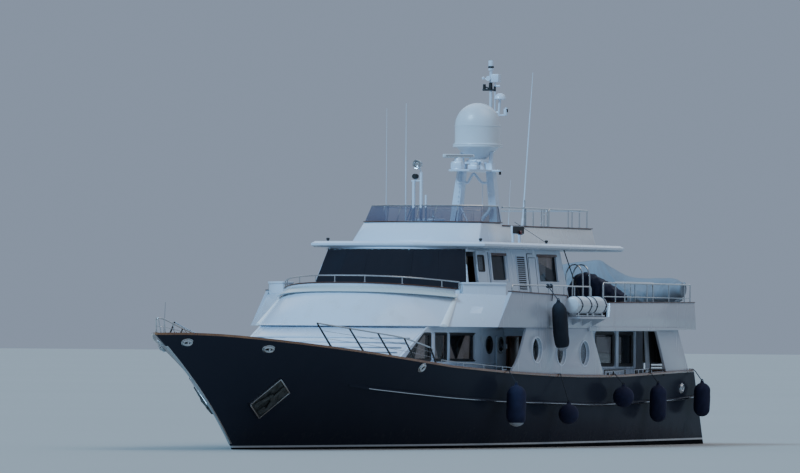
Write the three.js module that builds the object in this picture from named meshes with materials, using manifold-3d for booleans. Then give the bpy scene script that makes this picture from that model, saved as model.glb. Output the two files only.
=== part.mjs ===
// A displacement motor yacht, 33 m long, lying afloat, in millimetres.
// X runs forward, Y to port, Z up. The origin is amidships, on the centreline, at the waterline.
// The hull is closed by its main deck, with a bulwark standing on each side. The deckhouses are separate
// panels with their windows and doorways cut, and the decks between them are slabs that the panels carry.
import * as THREE from "three";
import { mergeVertices } from "three/addons/utils/BufferGeometryUtils.js";
import Module from "manifold-3d";

const wasm = await Module();
wasm.setup();

// Clearance left between touching pieces.
const GAP = 0.5;

// Driving dimensions of the hull.
const BULWARK = 120;
const CAP_HEIGHT = 60;
const SKEG_FLOOR_Z = -1950;

// Heights of the decks above the waterline.
const UPPER_DECK_LOW = 3330;
const UPPER_DECK_TOP = 3520;
const ROOF_LOW = 5530;
const ROOF_TOP = 5700;

// Finishes, each with its colour, roughness and metalness.
const finish = (color, roughness, metalness = 0) =>
  new THREE.MeshStandardMaterial({ color, roughness, metalness });
const NAVY = finish(0x070a14, 0.25);
const WHITE = finish(0xc9cfd6, 0.35);
const TEAK = finish(0x7a4a2a, 0.6);
const STEEL = finish(0xc8c8c8, 0.2, 1);
const BRONZE = finish(0x8a6a3a, 0.4, 1);
const RAW_TEAK = finish(0x9a8466, 0.8);
const TINTED = finish(0x3a3f52, 0.1);
const COVER_BLACK = finish(0x0d0f16, 0.9);
const COVER_GREY = finish(0xb9c2cc, 0.8);
const FENDER_BLUE = finish(0x11142e, 0.9);
const SHELL_WHITE = finish(0xdfe2e4, 0.3);

// A closed three.js geometry as a solid.
function solidOf(geometry) {
  const bare = geometry.index ? geometry.toNonIndexed() : geometry.clone();
  const onlyPlaces = new THREE.BufferGeometry().setAttribute("position", bare.getAttribute("position"));
  const merged = mergeVertices(onlyPlaces, 1e-3);
  return new wasm.Manifold(
    new wasm.Mesh({
      numProp: 3,
      vertProperties: merged.attributes.position.array,
      triVerts: new Uint32Array(merged.index.array),
    }),
  );
}

// A solid back as a three.js geometry.
function geometryOf(made) {
  const mesh = made.getMesh();
  const places = new Float32Array(mesh.numVert * 3);
  for (let i = 0; i < mesh.numVert; i++) {
    places.set(mesh.vertProperties.subarray(i * mesh.numProp, i * mesh.numProp + 3), i * 3);
  }
  const geometry = new THREE.BufferGeometry()
    .setAttribute("position", new THREE.BufferAttribute(places, 3))
    .setIndex(new THREE.BufferAttribute(mesh.triVerts, 1));
  geometry.computeVertexNormals();
  return geometry;
}

const join = (...solids) => solids.reduce((whole, next) => whole.add(next));

// A table of rows [x, value, ...], sorted by falling x, read at any x along a smooth curve through its rows.
function smooth(table, x, column = 1) {
  const last = table.length - 1;
  if (x >= table[0][0]) return table[0][column];
  if (x <= table[last][0]) return table[last][column];
  const i = table.findIndex((row) => row[0] <= x) - 1;
  const [x1, x2] = [table[i][0], table[i + 1][0]];
  const [v1, v2] = [table[i][column], table[i + 1][column]];
  const before = table[Math.max(i - 1, 0)];
  const after = table[Math.min(i + 2, last)];
  const slope1 = (v2 - before[column]) / (x2 - before[0]);
  const slope2 = (after[column] - v1) / (after[0] - x1);
  const t = (x - x1) / (x2 - x1);
  const width = x2 - x1;
  return (
    v1 * (2 * t ** 3 - 3 * t ** 2 + 1) +
    v2 * (3 * t ** 2 - 2 * t ** 3) +
    slope1 * width * (t ** 3 - 2 * t ** 2 + t) +
    slope2 * width * (t ** 3 - t ** 2)
  );
}

const mix = (a, b, t) => a + (b - a) * t;

// Rings of points, all of one count, skinned in order. An open run is capped at its two ends.
function loft(rings, closed = false) {
  const count = rings[0].length;
  const places = rings.flat(2);
  const faces = [];
  const at = (ring, i) => (ring % rings.length) * count + (i % count);
  const spans = closed ? rings.length : rings.length - 1;
  for (let r = 0; r < spans; r++) {
    for (let i = 0; i < count; i++) {
      faces.push(at(r, i), at(r, i + 1), at(r + 1, i), at(r, i + 1), at(r + 1, i + 1), at(r + 1, i));
    }
  }
  if (!closed) {
    for (const [ring, turn] of [[0, false], [rings.length - 1, true]]) {
      const middle = places.length / 3;
      const points = rings[ring];
      places.push(...[0, 1, 2].map((k) => points.reduce((sum, p) => sum + p[k], 0) / count));
      for (let i = 0; i < count; i++) {
        const [a, b] = turn ? [at(ring, i), at(ring, i + 1)] : [at(ring, i + 1), at(ring, i)];
        faces.push(middle, a, b);
      }
    }
  }
  const corner = (i) => new THREE.Vector3().fromArray(places, faces[i] * 3);
  let volume = 0;
  for (let i = 0; i < faces.length; i += 3) {
    volume += corner(i).dot(corner(i + 1).cross(corner(i + 2)));
  }
  if (volume < 0) {
    for (let i = 0; i < faces.length; i += 3) [faces[i + 1], faces[i + 2]] = [faces[i + 2], faces[i + 1]];
  }
  const geometry = new THREE.BufferGeometry()
    .setAttribute("position", new THREE.Float32BufferAttribute(places, 3))
    .setIndex(faces);
  return solidOf(geometry);
}

const shapeOf = (points) => new THREE.Shape(points.map(([a, b]) => new THREE.Vector2(a, b)));
const extruded = (shape, depth) =>
  new THREE.ExtrudeGeometry(shape, { depth, bevelEnabled: false, curveSegments: 12 });

// Prisms with their outline in one plane and their depth along the third axis.
function plate(points, yLow, yHigh) {
  const geometry = extruded(shapeOf(points), yHigh - yLow);
  return solidOf(geometry.rotateX(Math.PI / 2).translate(0, yHigh, 0));
}
function slab(points, zLow, zHigh) {
  return solidOf(extruded(shapeOf(points), zHigh - zLow).translate(0, 0, zLow));
}
function bulkhead(points, xLow, xHigh) {
  const turn = new THREE.Matrix4().makeBasis(
    new THREE.Vector3(0, 1, 0),
    new THREE.Vector3(0, 0, 1),
    new THREE.Vector3(1, 0, 0),
  );
  return solidOf(extruded(shapeOf(points), xHigh - xLow).applyMatrix4(turn).translate(xLow, 0, 0));
}
function block(xLow, xHigh, yLow, yHigh, zLow, zHigh) {
  const geometry = new THREE.BoxGeometry(xHigh - xLow, yHigh - yLow, zHigh - zLow);
  return solidOf(geometry.translate((xLow + xHigh) / 2, (yLow + yHigh) / 2, (zLow + zHigh) / 2));
}
const rectangle = (xLow, xHigh, zLow, zHigh) => [[xLow, zLow], [xHigh, zLow], [xHigh, zHigh], [xLow, zHigh]];

// A straight round bar between two points.
function bar(from, to, radius, sides = 6) {
  const a = new THREE.Vector3(...from);
  const b = new THREE.Vector3(...to);
  const geometry = new THREE.CylinderGeometry(radius, radius, a.distanceTo(b), sides);
  const turn = new THREE.Quaternion().setFromUnitVectors(
    new THREE.Vector3(0, 1, 0),
    b.clone().sub(a).normalize(),
  );
  geometry.applyQuaternion(turn);
  return solidOf(geometry.translate((a.x + b.x) / 2, (a.y + b.y) / 2, (a.z + b.z) / 2));
}

// A round tube along a smooth curve through points.
function tube(points, radius, steps = points.length * 2) {
  const path = new THREE.CatmullRomCurve3(points.map((p) => new THREE.Vector3(...p)), false, "centripetal");
  const section = new THREE.Shape().absarc(0, 0, radius, 0, 2 * Math.PI);
  const settings = { steps, extrudePath: path, curveSegments: 3, bevelEnabled: false };
  return solidOf(new THREE.ExtrudeGeometry(section, settings));
}

// A lathe about an upright axis, from a profile of [radius, height] that starts and ends on the axis.
function turned(profile, sides = 16) {
  const geometry = new THREE.LatheGeometry(profile.map(([r, h]) => new THREE.Vector2(r, h)), sides);
  return solidOf(geometry.rotateX(Math.PI / 2));
}

const mirrorY = (made) => made.mirror([0, 1, 0]);
// The one body of a cut piece that holds most of it.
function largest(made) {
  const parts = made.decompose();
  return parts.reduce((best, part) => (part.volume() > best.volume() ? part : best));
}
// A piece cut clear of its neighbour by the gap on every side.
const AROUND = [[GAP, 0, 0], [-GAP, 0, 0], [0, GAP, 0], [0, -GAP, 0], [0, 0, GAP], [0, 0, -GAP]];
const clearOf = (made, ...others) =>
  largest(
    others.reduce(
      (rest, other) => AROUND.reduce((r, shift) => r.subtract(other.translate(shift)), rest),
      made,
    ),
  );
const yacht = new THREE.Group();

function node(name, made, material, place = [0, 0, 0]) {
  const mesh = new THREE.Mesh(geometryOf(made), material);
  mesh.name = name;
  mesh.position.set(...place);
  yacht.add(mesh);
  return mesh;
}

// The same piece on both sides, made to port.
function pair(name, made, material, place = [0, 0, 0]) {
  node(name + "_port", made, material, place);
  node(name + "_starboard", mirrorY(made), material, [place[0], -place[1], place[2]]);
}

// Hull form
// Columns: x at the rail, half breadth at the rail, height of the rail.
const RAIL = [
  [15620, 30, 3035], [15500, 110, 3040], [15200, 265, 3045], [14500, 610, 3040], [13500, 1085, 3003],
  [12000, 1705, 2897], [10000, 2390, 2735], [8000, 2910, 2567], [6000, 3280, 2388], [4000, 3510, 2226],
  [2000, 3630, 2135], [0, 3660, 2058], [-4000, 3660, 1965], [-8000, 3580, 1955], [-12000, 3420, 2035],
  [-15300, 3220, 2105],
];
// Columns: x at the waterline, half breadth there, depth of the canoe body below it.
const WATER = [
  [10650, 30, 450], [9500, 430, 1000], [8000, 950, 1250], [6000, 1600, 1380], [4000, 2180, 1430],
  [2000, 2650, 1450], [0, 2980, 1450], [-3000, 3250, 1420], [-6000, 3330, 1330], [-10000, 3260, 1100],
  [-14000, 3060, 780], [-17050, 2850, 520],
];
// Columns: x, height of the main deck.
const DECK = [
  [15000, 2190], [10000, 1850], [6000, 1530], [2500, 1290], [0, 1200], [-8000, 1110], [-15300, 1250],
];
const STEM_HALF = 30;
const STEM_HOLLOW = 0.325;
const STEM_RAKE_LOW = 1.1;
const TRANSOM_RAKE_LOW = -0.3;
const FLARE = 0.75;
const BILGE_DROP = 2.3;
const BILGE_ROUND = 0.62;
const railX = (u) => mix(RAIL[0][0], RAIL.at(-1)[0], u);
const waterX = (u) => mix(WATER[0][0], WATER.at(-1)[0], u);

// A point of the port side at run u, from 0 at the stem to 1 at the transom, and height z.
function hullAt(u, z) {
  const railZ = smooth(RAIL, railX(u), 2);
  const waterY = smooth(WATER, waterX(u));
  if (z < 0) {
    const fall = Math.min(-z / smooth(WATER, waterX(u), 2), 1);
    const x = waterX(u) + mix(STEM_RAKE_LOW, TRANSOM_RAKE_LOW, u) * z;
    return [x, Math.max(waterY * (1 - fall ** BILGE_DROP) ** BILGE_ROUND, STEM_HALF), z];
  }
  const rise = Math.min(z / railZ, 1);
  const hollow = STEM_HOLLOW * (1 - u) ** 2;
  const x = mix(waterX(u), railX(u), rise * (1 - hollow) + rise * rise * hollow);
  const y = mix(waterY, smooth(RAIL, railX(u)), rise ** (1 + FLARE * (1 - u) ** 4));
  return [x, Math.max(y, STEM_HALF), z];
}
// The same point found by its x instead of its run.
function sideAt(x, z) {
  let [low, high] = [0, 1];
  for (let i = 0; i < 30; i++) {
    const middle = (low + high) / 2;
    if (hullAt(middle, z)[0] > x) low = middle;
    else high = middle;
  }
  return hullAt(low, z);
}
const deckAt = (x) => smooth(DECK, x);
const railTop = (x) => smooth(RAIL, x, 2) + CAP_HEIGHT + 2 * GAP;
const railSide = (x) => smooth(RAIL, x);
const bothSides = (port) => [...port, ...port.map(([x, y, z]) => [x, -y, z]).reverse()];
// A port ring closed a little past the centreline, and the whole form from such rings.
const halfRing = (port) => [[port[0][0], -5, port[0][2]], ...port, [port.at(-1)[0], -5, port.at(-1)[2]]];
function wholeOf(rings) {
  const port = loft(rings);
  return join(port, mirrorY(port));
}

const RUN = [
  0, 0.008, 0.018, 0.03, 0.045, 0.062, 0.08, 0.1, 0.125, 0.15, 0.18, 0.215, 0.25, 0.29, 0.33, 0.38, 0.43,
  0.49, 0.55, 0.61, 0.67, 0.73, 0.79, 0.85, 0.9, 0.94, 0.97, 1,
];
const SUNK = [1, 0.97, 0.9, 0.78, 0.6, 0.4, 0.2, 0];
const RAISED = [0.15, 0.3, 0.45, 0.6, 0.75, 0.88, 1];
function hullRing(u) {
  const depth = smooth(WATER, waterX(u), 2);
  const top = smooth(RAIL, railX(u), 2);
  const heights = [...SUNK.map((s) => -s * depth), ...RAISED.map((s) => s * top)];
  return halfRing(heights.map((z) => hullAt(u, z)));
}

// The main deck's height at run u, where it meets the side.
function deckLevel(u) {
  let z = smooth(RAIL, railX(u), 2) - 850;
  for (let i = 0; i < 6; i++) z = deckAt(hullAt(u, z)[0]);
  return z;
}
// The open well inside the bulwark, above the main deck.
const WELL_RUN = [0.024, ...RUN.slice(4, -1), 0.985];
function wellRing(u) {
  const top = smooth(RAIL, railX(u), 2);
  const deckZ = deckLevel(u);
  const levels = [0, 0.25, 0.5, 0.75, 1].map((t) => mix(deckZ, top, t));
  const port = [...levels, top + 400].map((z) => {
    const [x, y] = hullAt(u, Math.min(z, top));
    return [x, y - BULWARK, z];
  });
  return halfRing(port);
}

// All the space over the level of the main deck.
const WIDE = 5000;
const overDeck = loft(
  [[0, 3000], ...RUN.map((u) => [u, 0]), [1, -3000]].map(([u, shift]) => {
    const z = deckLevel(u);
    const x = hullAt(u, z)[0] + shift;
    return [[x, WIDE, z], [x, WIDE, 5000], [x, -WIDE, 5000], [x, -WIDE, z]];
  }),
);

const SCOOP = { face: -15560, floor: 480, half: 2350 };
const SKEG_HALF = 140;
const skeg = plate(
  [[7800, -1150], [6200, SKEG_FLOOR_Z], [-10200, SKEG_FLOOR_Z], [-11400, -900]],
  -SKEG_HALF,
  SKEG_HALF,
);
// Rubbing strake along each side below the capping.
// Columns: x, height of the strake's middle.
const STRAKE = [[7900, 1750], [7250, 1690], [3650, 1450], [920, 1330], [-1480, 1270], [-4070, 1230],
  [-6860, 1190], [-12900, 1290], [-14250, 1330], [-15700, 1390]];
const strakeX = [7900, 7700, 7000, 6000, 5000, 4000, 2500, 1000, -1000, -3000, -5000, -7000, -9000, -11000,
  -13000, -14500, -15900];
const strake = loft(
  strakeX.map((x, i) => {
    const z = smooth(STRAKE, x);
    const y = sideAt(x, z)[1];
    const out = i === 0 ? 12 : 70;
    return [[x, y - 60, z - 50], [x, y + out, z - 28], [x, y + out, z + 28], [x, y - 60, z + 50]];
  }),
);
const HATCH = { x: 8650, half: 450, top: 1960 };
const hatchCoaming = block(
  HATCH.x - HATCH.half, HATCH.x + HATCH.half, -HATCH.half, HATCH.half, HATCH.top - 400, HATCH.top,
);
const wholeHull = join(wholeOf(RUN.map(hullRing)), skeg)
  .subtract(wholeOf(WELL_RUN.map(wellRing)))
  .subtract(block(-18000, SCOOP.face, -SCOOP.half, SCOOP.half, SCOOP.floor, 3000))
  .add(hatchCoaming);
const hull = largest(wholeHull.subtract(overDeck).add(hatchCoaming));
node("hull", hull, NAVY);
const topsides = join(wholeHull, strake, mirrorY(strake));
const onDeck = (made) => largest(made.subtract(topsides.translate([0, 0, GAP])));
const portHalf = block(-20000, 20000, GAP, WIDE, -3000, 5000);
const bulwark = wholeHull.intersect(overDeck.translate([0, 0, GAP])).add(strake).intersect(portHalf);
pair("bulwark", largest(bulwark.subtract(hull)), NAVY);

// Varnished capping along the bulwark's top, round the bow and across the stern.
const CAP_OUT = 45;
const CAP_IN = 40;
const CAP_RUN = [0.006, ...RUN.slice(1, -1), 0.991];
function capRing(u, side) {
  const low = smooth(RAIL, railX(u), 2) + GAP;
  const y = railSide(railX(u));
  const inner = Math.max(y - BULWARK - CAP_IN, 60);
  return [
    [railX(u), side * (y + CAP_OUT), low],
    [railX(u), side * (y + CAP_OUT), low + CAP_HEIGHT],
    [railX(u), side * inner, low + CAP_HEIGHT],
    [railX(u), side * inner, low],
  ];
}
const capSide = loft(CAP_RUN.map((u) => capRing(u, 1)));
const sternLow = smooth(RAIL, RAIL.at(-1)[0], 2) + GAP;
const capStern = block(-15340, -14900, -3200, 3200, sternLow, sternLow + CAP_HEIGHT);
const bowLow = RAIL[1][2] + GAP;
const capBow = slab(
  [[15665, -45], [15665, 45], [15500, 150], [15250, 280], [15250, -280], [15500, -150]],
  bowLow,
  bowLow + CAP_HEIGHT - 4,
);
const capRail = join(capSide, mirrorY(capSide), capStern, capBow)
  .subtract(wholeHull)
  .subtract(wholeHull.translate([0, 0, GAP]));
pair("cap_rail", largest(capRail.intersect(portHalf)), TEAK);
// What stands on the capping, cut off a little above it.
const onCap = (made) => largest(made.subtract(capRail.translate([0, 0, GAP])));

// Running gear: two shafts in brackets, two screws and two rudders.
const SHAFT = { y: 1250, foreX: -8200, foreZ: -700, aftX: -12770, aftZ: -1380 };
const SCREW_RADIUS = 450;
const shaftFore = new THREE.Vector3(SHAFT.foreX, SHAFT.y, SHAFT.foreZ);
const shaftAft = new THREE.Vector3(SHAFT.aftX, SHAFT.y, SHAFT.aftZ);
const shaftWay = shaftAft.clone().sub(shaftFore).normalize();
const onShaft = (back) => shaftAft.clone().addScaledVector(shaftWay, back).toArray();
const strutFoot = onShaft(-320);
const shaftLine = join(
  bar(shaftFore.toArray(), shaftAft.toArray(), 50, 8),
  bar(onShaft(-560), onShaft(-60), 95, 8),
  bar(strutFoot, [strutFoot[0] + 100, SHAFT.y + 330, -450], 45, 6),
  bar(strutFoot, [strutFoot[0] + 100, SHAFT.y - 420, -450], 45, 6),
).subtract(hull.translate([0, 0, -GAP]));
pair("shaft_line", shaftLine, STEEL);

const SHAFT_TILT = (Math.atan2(SHAFT.foreZ - SHAFT.aftZ, SHAFT.foreX - SHAFT.aftX) * 180) / Math.PI;
const BLADES = 4;
function screw(hand) {
  const hub = turned([[0, -150], [60, -150], [85, 60], [80, 150], [0, 150]], 12).rotate([0, 90, 0]);
  const outline = [
    [0, 40], [130, 120], [190, 290], [120, SCREW_RADIUS], [-60, SCREW_RADIUS - 10], [-150, 270],
    [-90, 90],
  ];
  const blade = slab(outline, -11, 11).rotate([0, 52 * hand, 0]);
  const turns = Array.from({ length: BLADES }, (_, k) => blade.rotate([(k * 360) / BLADES, 0, 0]));
  return join(hub, ...turns).rotate([0, -SHAFT_TILT, 0]);
}
const [screwX, , screwZ] = onShaft(175);
node("propeller_port", screw(1), BRONZE, [screwX, SHAFT.y, screwZ]);
node("propeller_starboard", screw(-1), BRONZE, [screwX, -SHAFT.y, screwZ]);

const RUDDER = { x: -14100, low: -1750, bladeTop: -810, stockTop: -600, fore: 240, aft: 560, half: 55 };
const foil = [
  [RUDDER.fore, 0], [120, RUDDER.half], [-180, RUDDER.half * 0.7], [-RUDDER.aft, 8], [-RUDDER.aft, -8],
  [-180, -RUDDER.half * 0.7], [120, -RUDDER.half],
];
const rudder = join(
  slab(foil, RUDDER.low, RUDDER.bladeTop),
  bar([0, 0, RUDDER.low + 300], [0, 0, RUDDER.stockTop], 45, 12),
).subtract(hull.translate([-RUDDER.x, -SHAFT.y, -20]));
pair("rudder", rudder, BRONZE, [RUDDER.x, SHAFT.y, 0]);

// Stockless anchors, each stowed on a polished plate on the flare.
const ANCHOR = { x: 10380, z: 1400, length: 1080, width: 760, stepX: 205, stepZ: 345 };
const vectorAt = (x, z) => new THREE.Vector3(...sideAt(x, z));
const anchorSpot = vectorAt(ANCHOR.x, ANCHOR.z);
const anchorLong = vectorAt(ANCHOR.x - ANCHOR.stepX, ANCHOR.z + ANCHOR.stepZ)
  .sub(vectorAt(ANCHOR.x + ANCHOR.stepX, ANCHOR.z - ANCHOR.stepZ))
  .normalize();
const anchorWide = vectorAt(ANCHOR.x + 360, ANCHOR.z + 135).sub(vectorAt(ANCHOR.x - 360, ANCHOR.z - 135));
const anchorOut = new THREE.Vector3().crossVectors(anchorWide, anchorLong).normalize();
if (anchorOut.y < 0) anchorOut.negate();
const anchorCross = new THREE.Vector3().crossVectors(anchorOut, anchorLong);
const ANCHOR_PROUD = 45;
const anchorFrame = new THREE.Matrix4()
  .makeBasis(anchorLong, anchorCross, anchorOut)
  .setPosition(anchorSpot.addScaledVector(anchorOut, ANCHOR_PROUD));
const anchorBoxes = [
  new THREE.BoxGeometry(ANCHOR.length, ANCHOR.width, 240).translate(0, 0, -80),
  new THREE.BoxGeometry(760, 90, 90).translate(150, 0, 80),
  new THREE.BoxGeometry(170, 460, 130).translate(-260, 0, 90),
  new THREE.BoxGeometry(480, 100, 60).translate(-60, 180, 100),
  new THREE.BoxGeometry(480, 100, 60).translate(-60, -180, 100),
];
const anchorPocket = join(...anchorBoxes.map((g) => solidOf(g.applyMatrix4(anchorFrame))));
const clear = anchorOut.clone().multiplyScalar(GAP).toArray();
pair("anchor_pocket", largest(anchorPocket.subtract(topsides.translate(clear))), STEEL);

// Rails on the bulwark
const RAIL_TUBE = 20;
// Columns: x of the foot, height of the post, how far its head leans inboard, and how far forward.
const SIDE_POSTS = [
  [9690, 620, 340, 150], [8320, 600, 340, 150], [7050, 590, 320, 140], [5850, 570, 260, 120],
  [4690, 420, 140, 60],
];
const sidePosts = SIDE_POSTS.map(([x, tall, lean, fore]) => ({
  foot: [x, railSide(x) - 60, railTop(x) - 30],
  head: [x + fore, railSide(x) - 60 - lean, railTop(x) + tall],
}));
const sideRail = join(
  tube(sidePosts.map((p) => p.head), RAIL_TUBE + 2, 12),
  ...sidePosts.map((p) => bar(p.foot, p.head, RAIL_TUBE)),
);
pair("side_rail", onCap(sideRail), STEEL);

// Columns: x, half breadth, height above the capping, of the bow rail's top tube.
const PULPIT = [[14780, 400, 90], [15150, 235, 240], [15430, 110, 350], [15560, 0, 385]];
const pulpitPort = PULPIT.map(([x, y, up]) => [x, y, railTop(x) + up]);
const pulpitAll = [...pulpitPort, ...pulpitPort.slice(0, -1).map(([x, y, z]) => [x, -y, z]).reverse()];
const pulpit = join(
  tube(pulpitAll, RAIL_TUBE, 20),
  ...pulpitAll.map(([x, y, z]) =>
    bar([x - 60, Math.sign(y) * (railSide(x - 60) - 60), railTop(x) - 30], [x, y, z], RAIL_TUBE - 3)),
);
node("bow_pulpit", onCap(pulpit), STEEL);

// Anchor windlass on its bed, and the foredeck hatch.
const windlassZ = deckAt(11000);
const drum = (y) =>
  turned([[0, 0], [170, 0], [170, 120], [110, 180], [110, 300], [170, 380], [0, 400]], 12)
    .translate([10900, y, windlassZ + 150]);
const windlass = join(
  block(10450, 11350, -620, 620, windlassZ - 200, windlassZ + 160),
  drum(400),
  drum(-400),
  bar([10900, -760, windlassZ + 380], [10900, 760, windlassZ + 380], 80, 10),
);
node("windlass", onDeck(windlass), STEEL);
const hatchLid = block(-2 * HATCH.half - 20, 20, -HATCH.half - 20, HATCH.half + 20, 0, 50);
node("foredeck_hatch", hatchLid, WHITE, [HATCH.x + HATCH.half, 0, HATCH.top + 8]);

// Main deckhouse, forward part, with a walkway on each side
const WALL = 80;
const HOUSE_HALF = 2500;
const HOUSE_AFT = -2450;
const SLOPE_TOP = { x: 3150, z: UPPER_DECK_LOW - GAP };
const SLOPE_FOOT = { x: 5350, z: 2370 };
const HOUSE_NOSE = { x: 5500, z: 1300 };
const HOUSE_BULGE = 1300;
const houseProfile = [
  [HOUSE_AFT, 900], [HOUSE_NOSE.x, HOUSE_NOSE.z - 300], [SLOPE_FOOT.x, SLOPE_FOOT.z],
  [SLOPE_TOP.x, SLOPE_TOP.z], [HOUSE_AFT, SLOPE_TOP.z],
];
const SILL = 2430;
const HEAD = 3120;
const triangleWindow = [[2960, SILL], [4700, SILL], [3400, HEAD], [2960, HEAD]];
const porthole = (x, z, radius, yLow, yHigh) => bar([x, yLow, z], [x, yHigh, z], radius, 20);
const houseSide = onDeck(
  plate(houseProfile, HOUSE_HALF - WALL, HOUSE_HALF)
    .subtract(plate(triangleWindow, 2300, 2700))
    .subtract(plate(rectangle(1800, 2670, SILL, HEAD), 2300, 2700))
    .subtract(plate(rectangle(-250, 1630, SILL, HEAD), 2300, 2700))
    .subtract(porthole(-1300, 2840, 215, 2300, 2700)),
);

const bulge = (y, half, amount, power = 2.6) => amount * (1 - Math.abs(y / half) ** power);
const spread = (half, count) => Array.from({ length: count }, (_, i) => mix(-half, half, i / (count - 1)));
const frontHalf = HOUSE_HALF - WALL - GAP;
const houseFront = onDeck(
  loft(
    spread(frontHalf, 13).map((y) => {
      const push = bulge(y, frontHalf, HOUSE_BULGE);
      return [
        [SLOPE_TOP.x + push, y, SLOPE_TOP.z], [SLOPE_FOOT.x + push, y, SLOPE_FOOT.z],
        [HOUSE_NOSE.x + push, y, HOUSE_NOSE.z], [HOUSE_NOSE.x + push - WALL, y, HOUSE_NOSE.z],
        [SLOPE_FOOT.x + push - WALL, y, SLOPE_FOOT.z - 40], [SLOPE_TOP.x + push - 190, y, SLOPE_TOP.z],
      ];
    }),
  ),
);
node("house_front", houseFront, WHITE);

// Bulkheads that end the side walkways, with a doorway in each, and their doors standing open.
const DOOR = { low: 1290, high: 3080, inner: HOUSE_HALF + 90, width: 700, thick: 45 };
const lobbyFoot = 1000;
const lobbyOutline = [
  [HOUSE_HALF - WALL, lobbyFoot], [3400, lobbyFoot],
  [3400, UPPER_DECK_LOW - GAP], [HOUSE_HALF - WALL, UPPER_DECK_LOW - GAP],
];
const lobby = onDeck(
  bulkhead(lobbyOutline, HOUSE_AFT, HOUSE_AFT + 70)
    .subtract(
      block(-3000, -2000, DOOR.inner + 10, DOOR.inner + DOOR.width - 10, lobbyFoot - GAP, DOOR.high - 10),
    ),
).subtract(topsides.translate([0, -GAP, 0]));
const sideHouse = join(houseSide, lobby);
pair("house_side", sideHouse, WHITE);
const DOOR_FACE_X = HOUSE_AFT + 70 + 12;
const sideDoor = block(
  DOOR_FACE_X + 6, DOOR_FACE_X + 6 + DOOR.width,
  DOOR.inner - 30 - DOOR.thick / 2, DOOR.inner - 30 + DOOR.thick / 2,
  DOOR.low, DOOR.high,
);
pair("side_door", sideDoor.subtract(porthole(-1930, 2830, 205, 2300, 2700)), WHITE);

// Full beam walls that rise from the capping to the upper deck: three round windows, the curved
// forward edge, the open bay of the aft walkway and the raked quarter wing.
const wallX = [400, -1000, -2500, -4000, -6000, -8000, -10000, -12000, -13500, -15000];
const topsideStrip = loft(
  wallX.map((x) => {
    const y = railSide(x) - 15;
    return [
      [x, y, railTop(x) - 20], [x, y - 20, UPPER_DECK_LOW - GAP],
      [x, y - 20 - WALL, UPPER_DECK_LOW - GAP], [x, y - WALL, railTop(x) - 20],
    ];
  }),
);
const topsideOutline = [
  [-90, 2000], [-230, 2180], [-500, 2340], [-740, 2560], [-1020, 2940], [-1230, 3260], [-1260, 3400],
  [-13760, 3400], [-14960, 2000],
];
const ROUND_WINDOWS = [[-2010, 2710], [-3850, 2650], [-5670, 2620]];
const ROUND_RADIUS = 350;
const bayOutline = [[-7250, 2000], [-6300, 3265], [-11830, 3265], [-12770, 2000]];
const topside = ROUND_WINDOWS.reduce(
  (wall, [x, z]) => wall.subtract(porthole(x, z, ROUND_RADIUS, 3200, 4000)),
  topsideStrip.intersect(plate(topsideOutline, 3000, 4000)).subtract(plate(bayOutline, 3000, 4000)),
);
pair("topside_wall", clearOf(topside, capRail, sideHouse), WHITE);

// Saloon walls inside the aft walkway, and the bulkhead to the cockpit with its sliding door.
const SALOON = { half: 2620, fore: -6900, aft: -12100 };
const saloonSide = onDeck(
  plate(rectangle(SALOON.aft, SALOON.fore, 1000, UPPER_DECK_LOW - GAP), SALOON.half - WALL, SALOON.half)
    .subtract(plate(rectangle(-10400, -9050, 2320, 3180), 2400, 2800))
    .subtract(plate(rectangle(-11900, -10760, 2320, 3180), 2400, 2800)),
);
const cockpitOpening = { half: 450, low: 1290, high: 3120 };
const saloonHalf = SALOON.half;
const saloonEnd = onDeck(
  block(SALOON.aft, SALOON.aft + WALL, -saloonHalf, saloonHalf, 1000, UPPER_DECK_LOW - GAP)
    .subtract(
      block(
        -13000, -11000, -cockpitOpening.half, cockpitOpening.half,
        cockpitOpening.low - 10, cockpitOpening.high,
      ),
    )
    .subtract(block(-13000, -11000, 1150, 2250, 2000, 3120))
    .subtract(block(-13000, -11000, -2250, -1150, 2000, 3120)),
);
node("saloon_walls", join(saloonEnd, saloonSide, mirrorY(saloonSide)), WHITE);
const SLIDER_X = SALOON.aft - 60;
node("saloon_door", block(SLIDER_X, SLIDER_X + 45, -500, 500, cockpitOpening.low, 3160), STEEL);

// Upper deck
// Plan of the forward bulwark: its corner, its outer wing and the bulge of its front, low and high.
const FRONT_LOW = { cornerX: 2660, cornerY: 2770, wingX: 1040, wingY: 3710, bulge: 1900 };
const FRONT_HIGH = { cornerX: 1300, cornerY: 2570, wingX: 20, wingY: 3650, bulge: 1900 };
const FRONT_Z = { low: UPPER_DECK_LOW, corner: 4250, centre: 4400, wing: 4215 };
const FRONT_THICK = 110;
function frontPlan(t) {
  const at = (key) => mix(FRONT_LOW[key], FRONT_HIGH[key], t);
  const arc = spread(at("cornerY"), 15).map((y) => {
    const out = bulge(y, at("cornerY"), at("bulge"), 2.7);
    return [at("cornerX") + out, y, out / at("bulge")];
  });
  return [[at("wingX"), -at("wingY"), -1], ...arc, [at("wingX"), at("wingY"), -1]];
}
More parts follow.
